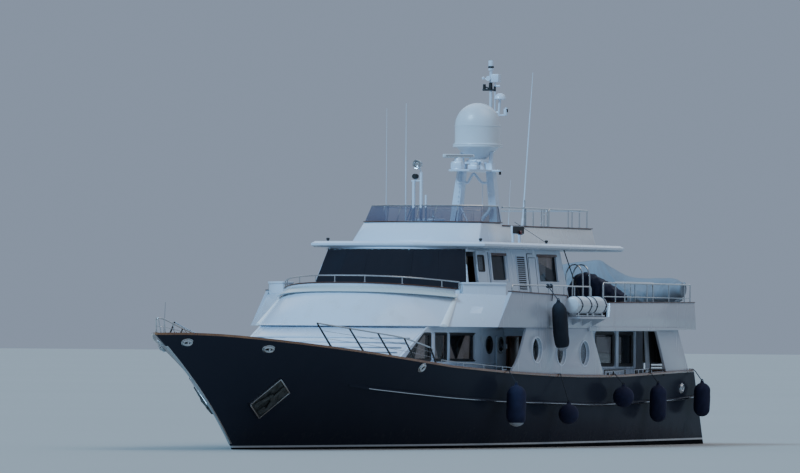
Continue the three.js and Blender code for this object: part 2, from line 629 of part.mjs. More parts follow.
// The same plan moved inwards by a distance.
function inwards(plan, distance) {
  return plan.map(([x, y], i) => {
    const [xa, ya] = plan[Math.max(i - 1, 0)];
    const [xb, yb] = plan[Math.min(i + 1, plan.length - 1)];
    const long = Math.hypot(xb - xa, yb - ya);
    return [x - ((yb - ya) / long) * distance, y + ((xb - xa) / long) * distance];
  });
}
function frontWall() {
  const low = frontPlan(0);
  const high = frontPlan(1);
  const lowIn = inwards(low, FRONT_THICK);
  const highIn = inwards(high, FRONT_THICK);
  return loft(
    low.map(([x, y], i) => {
      const rise = high[i][2] < 0 ? FRONT_Z.wing : mix(FRONT_Z.corner, FRONT_Z.centre, high[i][2]);
      return [
        [x, y, FRONT_Z.low], [high[i][0], high[i][1], rise],
        [highIn[i][0], highIn[i][1], rise], [lowIn[i][0], lowIn[i][1], FRONT_Z.low],
      ];
    }),
  );
}
// Columns: x, outer half breadth of the upper bulwark.
const BAND = [[1040, 3700], [0, 3700], [-5000, 3660], [-10000, 3560], [-14900, 3430]];
const BAND_THICK = 100;
const bandY = (x) => smooth(BAND, x);
const BAND_AFT = -14900;
const AFT_RAKE = 130;
const SIDE_X = [-1000, -2500, -5000, -7500, -10000, -12500, BAND_AFT + BAND_THICK + GAP];
const deckEdge = (x) => bandY(x) - BAND_THICK - 2 * GAP;
const deckFront = inwards(frontPlan(0.2), FRONT_THICK + 25).slice(1, -1);
const deckOutline = [
  ...deckFront, [350, deckEdge(0)],
  ...SIDE_X.map((x) => [x, deckEdge(x)]),
  ...SIDE_X.map((x) => [x, -deckEdge(x)]).reverse(), [350, -deckEdge(0)],
];
const CHOCK_X = [-14380, -13300];
const tenderChocks = CHOCK_X.flatMap((x) => [-900, 1900].map((y) =>
  block(x - 60, x + 60, y - 250, y + 250, UPPER_DECK_TOP - 20, 3900)));
const upperDeck = join(slab(deckOutline, UPPER_DECK_LOW, UPPER_DECK_TOP), ...tenderChocks);
node("upper_deck", upperDeck, RAW_TEAK);

// Lockers on the wings stand on the forward bulwark's top.
const locker = loft([
  [[1120, 2700, 4200], [1120, 2700, 4500], [840, 2520, 4500], [840, 2520, 4200]],
  [[120, 3560, 4200], [120, 3560, 4500], [-160, 3380, 4500], [-160, 3380, 4200]],
]);
const bridge = join(frontWall(), locker, mirrorY(locker));
node("portuguese_bridge", bridge, WHITE);

const bandX = [1100, 0, ...SIDE_X.slice(0, -1), BAND_AFT];
const bandStrip = loft(
  bandX.map((x) => [
    [x, bandY(x), UPPER_DECK_LOW], [x, bandY(x) - 10, 4400],
    [x, bandY(x) - BAND_THICK, 4400], [x, bandY(x) - BAND_THICK, UPPER_DECK_LOW],
  ]),
);
const RAFT_LEDGE = 3640;
const bandOutline = [
  [1030, UPPER_DECK_LOW], [10, 4310], [-4180, 4230], [-4960, RAFT_LEDGE], [-7560, RAFT_LEDGE],
  [-7640, 4050], [-14760, 4100], [-14900, 3200], [1030, 3200],
];
const raftShelf = join(
  block(-6650, -4150, 3560, 4060, 3590, 3650),
  ...[-4600, -5400, -6200].map(raftBracket),
);
function raftBracket(x) {
  return bulkhead([[3560, 3400], [3640, 3400], [4040, 3595], [3560, 3595]], x - 20, x + 20);
}
const bulwarkSide = join(bandStrip.intersect(plate(bandOutline, 3000, 4000)), raftShelf);
const aftBand = plate(
  [
    [BAND_AFT, UPPER_DECK_LOW], [BAND_AFT + BAND_THICK, UPPER_DECK_LOW],
    [BAND_AFT + BAND_THICK + AFT_RAKE, 4100], [BAND_AFT + AFT_RAKE, 4100],
  ],
  -3400,
  3400,
);
const upperBulwark = clearOf(join(bulwarkSide, mirrorY(bulwarkSide), aftBand), bridge, upperDeck);
node("upper_bulwark", upperBulwark, WHITE);

// Pilothouse on the upper deck, its walls leaning inwards
const PILOT = {
  low: UPPER_DECK_TOP + GAP, high: ROOF_LOW - GAP, foreX: 285, rake: 0.45, aftX: -7570, lean: 0.22,
};
const PILOT_FOOT = 2520;
const pilotY = (z) => PILOT_FOOT - PILOT.lean * (z - PILOT.low);
const pilotFore = (z) => PILOT.foreX - PILOT.rake * (z - PILOT.low);
const PANEL = 70;
const pilotSkin = (inset) => loft(
  [400, PILOT.aftX].map((x) => [
    [x, pilotY(PILOT.low) - inset, PILOT.low], [x, pilotY(PILOT.high) - inset, PILOT.high],
    [x, pilotY(PILOT.high) - inset - PANEL, PILOT.high], [x, pilotY(PILOT.low) - inset - PANEL, PILOT.low],
  ]),
);
const pilotOutline = [
  [pilotFore(PILOT.low), PILOT.low], [PILOT.aftX, PILOT.low], [PILOT.aftX, PILOT.high],
  [pilotFore(PILOT.high), PILOT.high],
];
// An opening or a leaf whose upright edges lean aft by this much for each unit of height.
const EDGE_RAKE = 0.25;
const raked = (xFore, xAft, zLow, zHigh) => {
  const back = EDGE_RAKE * (zHigh - zLow);
  return [[xFore, zLow], [xAft, zLow], [xAft - back, zHigh], [xFore - back, zHigh]];
};
// Columns: forward edge and aft edge at the sill, sill, head.
const PILOT_OPENINGS = [[-2050, -3200, 4630, 5370], [-5580, -7040, 4620, 5370]];
const PILOT_DOOR = { fore: -40, aft: -700, low: PILOT.low + 60, high: 5420 };
const pilotDoorway = plate(
  raked(PILOT_DOOR.fore, PILOT_DOOR.aft, PILOT_DOOR.low, PILOT_DOOR.high), 1500, 3000,
);
const pilotSide = PILOT_OPENINGS.reduce(
  (wall, [fore, aft, low, high]) => wall.subtract(plate(raked(fore, aft, low, high), 1500, 3000)),
  pilotSkin(0).intersect(plate(pilotOutline, 1500, 3000)).subtract(pilotDoorway),
);
pair("pilothouse_side", pilotSide, WHITE);

const PILOT_BULGE = 420;
const pilotInner = (z) => pilotY(z) - PANEL - 2 * GAP;
const wallAcross = (zLow, zHigh, thick, forward) => loft(
  spread(1, 13).map((s) => {
    const place = (z, back) => {
      const y = s * (forward > 0 ? pilotInner(z) + 40 : pilotInner(z));
      return [pilotFore(z) + bulge(s, 1, PILOT_BULGE, 2.2) + forward - back, y, z];
    };
    return [place(zLow, 0), place(zHigh, 0), place(zHigh, thick), place(zLow, thick)];
  }),
);
const SCREEN_PANES = [[-1850, -700], [-600, 600], [700, 1850]];
const pilotFront = SCREEN_PANES.reduce(
  (wall, [a, b]) => wall.subtract(block(-1500, 2000, a, b, 4560, 5360)),
  wallAcross(PILOT.low, PILOT.high, 90, 0),
);
node("pilothouse_front", pilotFront, WHITE);
const COVER = { low: 4380, high: 5490 };
node("windscreen_cover", wallAcross(COVER.low, COVER.high, 22, 26), COVER_BLACK);
const pilotEnd = bulkhead(
  [
    [-pilotInner(PILOT.low), PILOT.low], [pilotInner(PILOT.low), PILOT.low],
    [pilotInner(PILOT.high), PILOT.high], [-pilotInner(PILOT.high), PILOT.high],
  ],
  PILOT.aftX,
  PILOT.aftX + PANEL,
).subtract(block(-8000, -7000, -1700, -500, 4500, 5300)).subtract(block(-8000, -7000, 500, 1700, 4500, 5300));
node("pilothouse_bulkhead", pilotEnd, WHITE);

// The pilothouse doors slide aft outside the wall. They are drawn open, as they stand.
const leafAt = (outline, inset, thick) => {
  const [low, high] = [outline[0][1], outline[2][1]];
  const sheet = loft(
    [1000, -8000].map((x) => [
      [x, pilotY(low) - inset, low], [x, pilotY(high) - inset, high],
      [x, pilotY(high) - inset - thick, high], [x, pilotY(low) - inset - thick, low],
    ]),
  );
  return sheet.intersect(plate(outline, 1500, 3000));
};
const PILOT_SLIDE = 640;
const pilotLeaf = leafAt(
  raked(PILOT_DOOR.fore - PILOT_SLIDE + 20, PILOT_DOOR.aft - PILOT_SLIDE - 30, PILOT_DOOR.low + 15, 5450),
  -50, 38,
).subtract(plate(raked(-1060, -1510, 4880, 5310), 1500, 3000));
pair("pilothouse_door", pilotLeaf, WHITE);
// Wheelhouse roof, running aft as an awning over the boat deck
const ROOF = { fore: -640, aft: -11570, half: 2620, bulge: 480, round: 0.35 };
function roofPlan(inset) {
  const half = ROOF.half - inset;
  const front = spread(half, 17).map((y) => [ROOF.fore - inset + bulge(y, half, ROOF.bulge, 2.4), y]);
  const rear = [0, 15, 30, 45, 60, 75, 90].map((degrees) => {
    const turn = (degrees * Math.PI) / 180;
    const radius = 450;
    return [ROOF.aft + inset + radius - radius * Math.sin(turn), half - radius + radius * Math.cos(turn)];
  });
  return [...front, ...rear, ...rear.map(([x, y]) => [x, -y]).reverse()];
}
const roofRing = (inset, z) => roofPlan(inset).map(([x, y]) => [x, y, z]);
// Sidelight screen: a board parallel to the centreline on two legs.
const LAMP_BOARD = {
  fore: -3520, aft: -4400, inner: 2215, outer: 2265, low: ROOF_TOP + 250, high: ROOF_TOP + 475,
};
const lampLeg = (x) => block(
  x - 45, x + 45, LAMP_BOARD.inner - 40, LAMP_BOARD.inner + 20, ROOF_TOP - 60, LAMP_BOARD.high - 40,
);
const lampBoard = join(
  block(
    LAMP_BOARD.aft, LAMP_BOARD.fore, LAMP_BOARD.inner, LAMP_BOARD.outer, LAMP_BOARD.low, LAMP_BOARD.high,
  ),
  lampLeg(-3720),
  lampLeg(-4200),
);
const roof = loft([roofRing(70, ROOF_LOW), roofRing(0, 5580), roofRing(0, 5640), roofRing(90, ROOF_TOP)]);
node("wheelhouse_roof", join(roof, lampBoard, mirrorY(lampBoard)), WHITE);

// Flybridge coaming, tinted screen and rail
const FLY = {
  low: ROOF_TOP + GAP, foreLow: -1930, foreHigh: -2430, halfLow: 1930, halfHigh: 1780, step: -3930,
  stepZ: 6175,
};
const FLY_AFT = -10760;
function flyPlan(fore, half, amount, aft) {
  const front = spread(half, 13).map((y) => [fore + bulge(y, half, amount, 2.6), y]);
  return [[aft, -half], ...front, [aft, half]];
}
function coaming(fore, high, aft) {
  const low = flyPlan(FLY.foreLow, FLY.halfLow, 650, aft);
  const top = flyPlan(FLY.foreHigh, FLY.halfHigh, 650, aft);
  const lowIn = inwards(low, 70);
  const topIn = inwards(top, 70);
  return loft(
    low.map(([x, y], i) => [
      [x, y, FLY.low], [top[i][0], top[i][1], high], [topIn[i][0], topIn[i][1], high],
      [lowIn[i][0], lowIn[i][1], FLY.low],
    ]),
  );
}
const flyHigh = 6250;
const flyCoaming = coaming(FLY.foreLow, flyHigh, FLY_AFT)
  .subtract(block(-20000, FLY.step, -3000, 3000, FLY.stepZ, 7000));
node("flybridge_coaming", flyCoaming, WHITE);
const screenRise = 460;
function flyScreen() {
  const foot = flyPlan(FLY.foreHigh, FLY.halfHigh, 650, FLY.step + 20);
  const head = flyPlan(FLY.foreHigh - 330, FLY.halfHigh - 70, 650, FLY.step + 20);
  const footIn = inwards(foot, 30);
  const headIn = inwards(head, 30);
  const footOut = inwards(foot, 15);
  const headOut = inwards(head, 15);
  return loft(
    foot.map((_, i) => [
      [...footOut[i], flyHigh + GAP], [...headOut[i], flyHigh + screenRise],
      [...headIn[i], flyHigh + screenRise], [...footIn[i], flyHigh + GAP],
    ]),
  );
}
node("flybridge_screen", flyScreen(), TINTED);
const flyRailZ = 6700;
const flyRailY = FLY.halfHigh - 20;
const flyPosts = [-4160, -5780, -7400, -8980, -10460];
const flyRailPath = [
  ...flyPosts.map((x) => [x, flyRailY, flyRailZ]), [FLY_AFT + 60, flyRailY - 300, flyRailZ],
  [FLY_AFT + 60, -flyRailY + 300, flyRailZ], ...flyPosts.map((x) => [x, -flyRailY, flyRailZ]).reverse(),
];
const flyRail = join(
  tube(flyRailPath, 21, 72),
  ...flyPosts.flatMap((x) => [flyRailY, -flyRailY].map((y) =>
    bar([x, y, FLY.stepZ + GAP], [x, y, flyRailZ], 17))),
);
node("flybridge_rail", flyRail, STEEL);
// Mast: two legs, a platform, the satellite dome, two radars and a light pole
const MAST_X = -6365;
const legRings = [[5700 + GAP, 660, 190, 130], [6700, 570, 170, 115], [7990, 415, 130, 95]].map(
  ([z, y, halfX, halfY]) => [
    [MAST_X + halfX, y - halfY, z], [MAST_X + halfX, y + halfY, z], [MAST_X - halfX, y + halfY, z],
    [MAST_X - halfX, y - halfY, z],
  ],
);
const mastLeg = loft(legRings);
const PLATFORM = [[-5100, 300], [-5500, 500], [-6000, 700], [-6600, 650], [-7550, 130]];
const platformPlan = [...PLATFORM, ...PLATFORM.map(([x, y]) => [x, -y]).reverse()];
const MAST_DECK = 7790;
const RADAR = { x: -5350, y: -130, rise: 315, base: 250, long: 960, wide: 120, tall: 100, turn: 47 };
const SMALL_RADAR = { x: -5760, y: 400, rise: 225, base: 150, long: 470, wide: 80, tall: 60, turn: 60 };
const pedestal = ({ x, y, rise, base }) =>
  turned([[0, -20], [base * 0.75, -20], [base * 0.6, 90], [base * 0.45, rise], [0, rise]], 16)
    .translate([x, y, MAST_DECK]);
const scanner = ({ base, long, wide, tall, turn }) => join(
  block(-wide / 2, wide / 2, -long / 2, long / 2, 12, 12 + tall),
  turned([[0, 6], [base * 0.3, 6], [base * 0.3, 20], [0, 20]], 12),
).rotate([0, 0, turn]);
const smallRadar = join(
  pedestal(SMALL_RADAR),
  scanner(SMALL_RADAR).translate([SMALL_RADAR.x, SMALL_RADAR.y, MAST_DECK + SMALL_RADAR.rise - 10]),
);
const pole = join(
  bar([0, 0, -20], [0, 0, 2870], 42, 10),
  bar([0, -20, 2560], [0, 260, 2560], 22, 6),
  block(-70, 70, 60, 230, 2520, 2720),
  bar([0, 20, 1600], [0, -330, 1600], 20, 6),
  bar([0, -320, 1590], [0, -320, 1850], 60, 8),
  bar([0, 0, 1580], [0, 480, 1580], 22, 6),
  bar([0, 460, 1570], [0, 460, 1760], 60, 8),
  turned([[0, 0], [75, 0], [75, 280], [0, 300]], 12).translate([0, 0, 2850]),
).translate([-7400, 0, MAST_DECK]);
const mastTop = join(slab(platformPlan, MAST_DECK - 50, MAST_DECK), pedestal(RADAR), smallRadar, pole);
node("mast", join(mastLeg, mirrorY(mastLeg), mastTop), WHITE);
const DOME_X = -6450;
const DOME_R = 650;
const DOME_EQUATOR = 1250;
const dome = turned(
  [
    [0, 0], [260, 0], [260, 340], [330, 370], [610, 640], [658, 690], [DOME_R, DOME_EQUATOR],
    ...[15, 30, 45, 60, 75].map((degrees) => {
      const turn = (degrees * Math.PI) / 180;
      return [DOME_R * Math.cos(turn), DOME_EQUATOR + DOME_R * Math.sin(turn)];
    }),
    [0, DOME_EQUATOR + DOME_R],
  ],
  28,
).translate([DOME_X, 0, MAST_DECK + GAP]);
node("satellite_dome", dome, SHELL_WHITE);
node("radar_scanner", scanner(RADAR), SHELL_WHITE, [RADAR.x, RADAR.y, MAST_DECK + RADAR.rise]);
// Columns: y, top.
const SEARCH_POSTS = [[-150, 7420], [75, 7640]];
const searchlight = join(
  ...SEARCH_POSTS.map(([y, top]) => bar([-2130, y, flyHigh - 250], [-2130, y, top], 40, 8)),
  block(-2180, -2080, -200, 120, 7390, 7430),
  bar([-2240, -90, 7520], [-2030, -90, 7520], 75, 10),
  bar([-2130, -90, 7400], [-2130, -90, 7500], 30, 8),
  bar([-2230, 20, 7870], [-1980, 20, 7870], 120, 14),
  bar([-2130, 75, 7610], [-2130, 20, 7800], 32, 8),
);
node("searchlight", clearOf(searchlight, flyCoaming, flyScreen()), SHELL_WHITE);

// Rails of the upper deck
const bridgePath = spread(2400, 13).map((y) => {
  const out = bulge(y, 2570, FRONT_HIGH.bulge, 2.7);
  const z = mix(FRONT_Z.corner, FRONT_Z.centre, out / FRONT_HIGH.bulge) + 200;
  return [FRONT_HIGH.cornerX + out - 60, y, z];
});
const bridgeRail = join(
  tube(bridgePath, RAIL_TUBE, 36),
  ...bridgePath.filter((_, i) => i % 2 === 0).map(([x, y, z]) => bar([x, y, z - 260], [x, y, z], 15)),
);
node("bridge_rail", clearOf(bridgeRail, bridge), STEEL);
// Columns: x, distance inside the bulwark's outer face. The rail passes inside the liferafts.
const SIDE_RAIL = [[-150, 50], [-1500, 50], [-2850, 50], [-4050, 50], [-5100, 135], [-6100, 135]];
const sideRailY = (x, inside) => bandY(x) - inside;
const upperSideRail = join(
  tube(SIDE_RAIL.map(([x, inside]) => [x, sideRailY(x, inside), 4500]), RAIL_TUBE, 14),
  ...SIDE_RAIL.map(([x, inside]) =>
    bar([x, sideRailY(x, inside), 3530], [x, sideRailY(x, inside), 4500], 15)),
);
pair("upper_side_rail", clearOf(upperSideRail, upperBulwark, bridge, upperDeck), STEEL);
const boatRailX = [-7250, -8750, -10250, -11750, -13250, -14650];
const boatRailPort = boatRailX.map((x) => [x, bandY(x) - 55, 4620]);
const boatPosts = [...boatRailPort, [-14850, 1700, 4620], [-14850, 0, 4620]];
const boatRail = join(
  tube(bothSides([...boatRailPort, [-14850, 3150, 4620]]), RAIL_TUBE, 40),
  ...boatPosts.flatMap(([x, y, z]) => [y, -y].map((side) => bar([x, side, 4000], [x, side, z], 15))),
);
node("boat_deck_rail", clearOf(boatRail, upperBulwark), STEEL);
// Liferafts in canisters on the side shelves, in one cradle each side.
const raftZ = 3650 + 2 * GAP;
const canister = (x) => join(
  bar([x - 560, 3835, raftZ + 320], [x + 560, 3835, raftZ + 320], 250, 18),
  block(x - 380, x - 300, 3690, 3980, raftZ, raftZ + 220),
  block(x + 300, x + 380, 3690, 3980, raftZ, raftZ + 220),
);
const rafts = join(canister(-4630), canister(-5750), block(-5990, -4390, 3815, 3855, raftZ, raftZ + 60));
pair("liferafts", clearOf(rafts, upperBulwark), SHELL_WHITE);

// Tender under its cover, lying athwart the boat deck with its bow to port and a little aft.
const TENDER = { keel: 3700, stern: -1100, sternX: -13620, bow: 3300, bowX: -14130 };
// Columns: place along the boat from 0 at the stern to 1 at the bow, half width, keel lift, tube
// height, cover height.
const TENDER_RINGS = [
  [0, 640, 120, 4130, 4750], [0.1, 740, 0, 4130, 5050], [0.22, 760, 0, 4130, 5220],
  [0.38, 760, 0, 4140, 5290], [0.44, 760, 0, 4140, 5300], [0.5, 755, 0, 4145, 5160],
  [0.59, 740, 0, 4155, 4930], [0.65, 725, 20, 4170, 4830], [0.75, 660, 60, 4220, 4790],
  [0.87, 500, 180, 4290, 4800], [0.95, 330, 370, 4400, 4780], [1, 180, 470, 4500, 4660],
];
// A ring across the tender from the [half width, height] points of one side.
function acrossTender(t, half) {
  const [x, y] = [mix(TENDER.sternX, TENDER.bowX, t), mix(TENDER.stern, TENDER.bow, t)];
  const port = half.map(([a, z]) => [x + Math.max(a, 30), y, z]);
  const far = half.map(([a, z]) => [x - Math.max(a, 30), y, z]).reverse();
  return [...port, ...far];
}
const tenderBody = loft(
  TENDER_RINGS.map(([t, half, lift, tubeZ]) =>
    acrossTender(t, [
      [60, TENDER.keel + lift], [half - 260, TENDER.keel + 170 + lift * 0.8], [half - 60, tubeZ - 200],
      [half, tubeZ - 30], [half - 50, tubeZ + 130], [half - 190, tubeZ + 200],
    ])),
);
node("tender", clearOf(tenderBody, upperDeck), FENDER_BLUE);
const tenderCover = loft(
  TENDER_RINGS.map(([t, half, , tubeZ, top]) =>
    acrossTender(mix(-0.005, 1.005, t), [
      [half + 25, tubeZ - 60], [half + 30, tubeZ + 60], [half - 110, tubeZ + 290],
      [half * 0.5, mix(tubeZ + 290, top, 0.62)], [60, top],
    ])),
);
node("tender_cover", clearOf(tenderCover, tenderBody, upperBulwark), COVER_GREY);

// A small craft under a navy cover, lying athwart just forward of the tender.
const CRAFT = { x: -11700, cradle: 3900, hem: 4200 };
// Columns: y, half width, height of the cover's top.
const CRAFT_RINGS = [
  [640, 180, 4330], [800, 330, 4580], [950, 400, 4840], [1150, 420, 4920], [1350, 420, 4930],
  [1600, 410, 4820], [1880, 390, 4670], [2200, 330, 4480], [2420, 200, 4330],
];
const craft = loft(
  CRAFT_RINGS.map(([y, half, top]) => {
    const side = [
      [half * 0.5, UPPER_DECK_TOP + GAP], [half * 0.55, CRAFT.cradle], [half, CRAFT.hem],
      [half * 0.85, mix(CRAFT.hem, top, 0.7)], [half * 0.3, top],
    ];
    return [
      ...side.map(([a, z]) => [CRAFT.x + a, y, z]),
      ...side.map(([a, z]) => [CRAFT.x - a, y, z]).reverse(),
    ];
  }),
);
node("covered_craft", craft, FENDER_BLUE);

// Fenders over the port side, each with its lanyard up to the rail it hangs from.
// Columns: name, x, middle height, radius, half length, height of what it hangs from, and how far out
// it lies where the hull doesn't say, and how many degrees its foot has swung aft.
const FENDERS = [
  ["fender_1", -2980, 3370, 215, 700, 4480, 3960, 14], ["fender_2", 300, 1170, 270, 570, 2180, 0, 0],
  ["fender_3", -3550, 930, 285, 285, 2080, 0, 0], ["fender_4", -7900, 1400, 300, 300, 2070, 0, 0],
  ["fender_5", -11070, 1200, 240, 530, 2080, 0, 0], ["fender_6", -15200, 1300, 240, 490, 2150, 0, 0],
];
for (const [name, x, z, radius, half, hangZ, hangY, swing] of FENDERS) {
  const skin = Math.max(...[-0.7, 0, 0.7].map((t) => sideAt(x, Math.max(z + t * half, 50))[1]));
  const y = hangY || Math.max(skin + 75, railSide(x) + CAP_OUT) + radius + 6;
  const end = Math.min(radius, half);
  const profile = [-90, -65, -40, -15, 15, 40, 65, 90].map((degrees) => {
    const turn = (degrees * Math.PI) / 180;
    const out = Math.abs(degrees) === 90 ? 0 : radius * Math.cos(turn);
    return [out, Math.sign(degrees) * (half - end) + end * Math.sin(turn)];
  });
  const body = turned(profile, 18);
  const eye = bar([0, 0, half - 30], [0, 0, half + 60], 40, 8);
  const swung = (swing * Math.PI) / 180;
  const lanyardFoot = [(half + 40) * Math.sin(swung), 0, (half + 40) * Math.cos(swung)];
  const railOut = hangY ? bandY(x) - 50 + RAIL_TUBE + 14 - y : railSide(x) + CAP_OUT + 14 - y;
  const lanyard = bar(lanyardFoot, [lanyardFoot[0], railOut, hangZ - z], 11, 6);
  node(name, join(join(body, eye).rotate([0, swing, 0]), lanyard), FENDER_BLUE, [x, y, z]);
}

export default yacht;
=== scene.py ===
# A 33 m displacement motor yacht afloat: navy hull, white deckhouses, varnished cappings.
# Metres, +X to the bow, +Y to port, +Z up, the origin amidships at the waterline.
import math

import bmesh
import bpy
from mathutils import Matrix, Vector


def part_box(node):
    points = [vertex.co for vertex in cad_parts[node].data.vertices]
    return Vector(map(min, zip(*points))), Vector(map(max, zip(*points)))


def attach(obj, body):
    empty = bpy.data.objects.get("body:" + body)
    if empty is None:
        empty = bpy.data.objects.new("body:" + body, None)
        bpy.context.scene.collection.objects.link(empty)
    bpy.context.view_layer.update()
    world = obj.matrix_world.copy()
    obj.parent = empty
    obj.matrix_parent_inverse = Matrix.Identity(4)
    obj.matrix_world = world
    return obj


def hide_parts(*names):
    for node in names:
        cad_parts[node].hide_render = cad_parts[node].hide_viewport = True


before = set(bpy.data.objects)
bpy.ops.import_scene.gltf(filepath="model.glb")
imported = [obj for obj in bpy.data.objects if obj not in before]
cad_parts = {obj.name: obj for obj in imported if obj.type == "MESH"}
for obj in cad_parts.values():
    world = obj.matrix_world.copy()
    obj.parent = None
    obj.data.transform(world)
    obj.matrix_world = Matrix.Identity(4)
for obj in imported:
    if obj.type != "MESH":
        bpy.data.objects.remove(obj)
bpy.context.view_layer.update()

# Camera: far off the port bow at eye height above the water, with a long lens that flattens the ship.
# The place of the ship's origin in the photograph sets where the camera points.
PHOTO_WIDTH = 800
PHOTO_HEIGHT = 473
ORIGIN_PIXEL_X = 388
HORIZON_PIXEL_Y = 342
FOCAL_PIXELS = 9600
SENSOR = 36
CAMERA_DISTANCE = 266
CAMERA_BEARING = math.radians(22.8)
EYE_HEIGHT = 2.9
CAMERA_ROLL = math.radians(0.45)

toward = Vector((math.cos(CAMERA_BEARING), math.sin(CAMERA_BEARING), 0))
right = Vector((-toward.y, toward.x, 0))
level = Matrix((right, Vector((0, 0, 1)), toward)).transposed()
origin_ray = Vector((ORIGIN_PIXEL_X - PHOTO_WIDTH / 2, PHOTO_HEIGHT / 2 - HORIZON_PIXEL_Y, -FOCAL_PIXELS))
aim = origin_ray.rotation_difference(Vector((0, 0, -1))).to_matrix()
camera_data = bpy.data.cameras.new("camera")
camera_data.sensor_width = SENSOR
camera_data.lens = FOCAL_PIXELS / PHOTO_WIDTH * SENSOR
camera_data.clip_start = 10
camera_data.clip_end = 3000
camera = bpy.data.objects.new("camera", camera_data)
turn_to_ship = (level @ Matrix.Rotation(CAMERA_ROLL, 3, "Z") @ aim).to_4x4()
eye = toward * CAMERA_DISTANCE + Vector((0, 0, EYE_HEIGHT))
camera.matrix_world = Matrix.Translation(eye) @ turn_to_ship
bpy.context.scene.collection.objects.link(camera)
bpy.context.scene.camera = camera


# Studio: a wide pale floor at the waterline, an even pale sky, and three broad soft suns.
# Every finish is a Paint, whose nodes come from add() and whose sums are written as Python sums.
class Value:
    """A number or colour that varies over a surface. A sum with it adds a Math node to its paint."""

    def __init__(self, paint, socket):
        self.paint = paint
        self.socket = socket

    def math(self, operation, *terms):
        named = {f"_{i}": term for i, term in enumerate(terms)}
        return self.paint.add("Math", {"operation": operation}, **named)

    def __add__(self, other):
        return self.math("ADD", self, other)

    def __sub__(self, other):
        return self.math("SUBTRACT", self, other)

    def __rsub__(self, other):
        return self.math("SUBTRACT", other, self)

    def __mul__(self, other):
        return self.math("MULTIPLY", self, other)

    __radd__ = __add__
    __rmul__ = __mul__

    def size(self):
        return self.math("ABSOLUTE", self)

    def rest(self, period):
        """How far into its period the value is, from 0 to 1."""
        return self.math("FRACT", self * (1 / period))

    def ramp(self, low, high):
        """0 below low, 1 above high, and smooth between."""
        settings = {"interpolation_type": "SMOOTHSTEP"}
        return self.paint.add("MapRange", settings, Value=self, From_Min=low, From_Max=high)

    def line(self, middle, half, soft):
        """1 within half of middle, falling to 0 over soft."""
        return 1 - (self - middle).size().ramp(half, half + soft)


class Paint:
    """One finish: its shader, and the nodes that vary its colour, roughness, coat and bump."""

    def __init__(self, name, color, roughness, **constants):
        self.material = bpy.data.materials.new(name)
        self.material.use_nodes = True
        self.tree = self.material.node_tree
        self.shader = self.tree.nodes["Principled BSDF"]
        self.color = (*color, 1)
        self.put(self.shader, Base_Color=self.color, Roughness=roughness, **constants)
        self.place = self.add("TexCoord", out="Object")
        self.x, self.y, self.z = [self.add("SeparateXYZ", out=axis, Vector=self.place) for axis in "XYZ"]

    def put(self, node, **sockets):
        for name, value in sockets.items():
            key = int(name[1:]) if name[0] == "_" else name.replace("_", " ")
            if isinstance(value, Value):
                self.tree.links.new(value.socket, node.inputs[key])
            else:
                node.inputs[key].default_value = value

    def add(self, kind, settings=None, out=0, **sockets):
        node = self.tree.nodes.new("ShaderNode" + kind)
        for name, value in (settings or {}).items():
            setattr(node, name, value)
        self.put(node, **sockets)
        return Value(self, node.outputs[out])

    def noise(self, scale, detail=2, stretch=(1, 1, 1)):
        spot = self.add("VectorMath", {"operation": "MULTIPLY"}, _0=self.place, _1=stretch)
        return self.add("TexNoise", Vector=spot, Scale=scale, Detail=detail)

    def coloured(self, share, other):
        """Mixes another colour over what is there already."""
        self.color = self.add("Mix", {"data_type": "RGBA"}, out=2, _0=share, _6=self.color, _7=(*other, 1))
        self.put(self.shader, Base_Color=self.color)
        return self

    def rough(self, value):
        self.put(self.shader, Roughness=value)
        return self

    def bumped(self, height, depth):
        self.put(self.shader, Normal=self.add("Bump", Height=height, Distance=depth))
        return self


floor_paint = Paint("pale_floor", (0.42, 0.41, 0.39), 0.9)
floor_paint.coloured(floor_paint.noise(0.02), (0.46, 0.45, 0.43))
FLOOR_HALF = 2500
floor_mesh = bmesh.new()
bmesh.ops.create_grid(floor_mesh, x_segments=8, y_segments=8, size=FLOOR_HALF)
floor_data = bpy.data.meshes.new("floor")
floor_mesh.to_mesh(floor_data)
floor_data.materials.append(floor_paint.material)
floor = bpy.data.objects.new("floor", floor_data)
bpy.context.scene.collection.objects.link(floor)

sky = bpy.data.worlds.new("sky")
sky.use_nodes = True
sky.node_tree.nodes["Background"].inputs["Color"].default_value = (0.55, 0.68, 0.90, 1)
sky.node_tree.nodes["Background"].inputs["Strength"].default_value = 0.46
bpy.context.scene.world = sky
# Columns: name, bearing from the bow towards port, elevation, strength, width, colour.
SUNS = [
    ("key", -24, 40, 2.95, 22, (0.32, 0.66, 1.0)),
    ("beam", 95, 60, 0.5, 40, (1.0, 0.92, 0.82)),
    ("quarter", 200, 40, 0.5, 60, (0.85, 0.92, 1.0)),
]
for name, bearing, elevation, strength, width, color in SUNS:
    lamp = bpy.data.lights.new("sun_" + name, "SUN")
    lamp.energy = strength
    lamp.angle = math.radians(width)
    lamp.color = color
    sun = bpy.data.objects.new("sun_" + name, lamp)
    flat = math.radians(bearing)
    rise = math.radians(elevation)
    from_sun = Vector((math.cos(flat) * math.cos(rise), math.sin(flat) * math.cos(rise), math.sin(rise)))
    sun.rotation_euler = from_sun.to_track_quat("Z", "Y").to_euler()
    bpy.context.scene.collection.objects.link(sun)


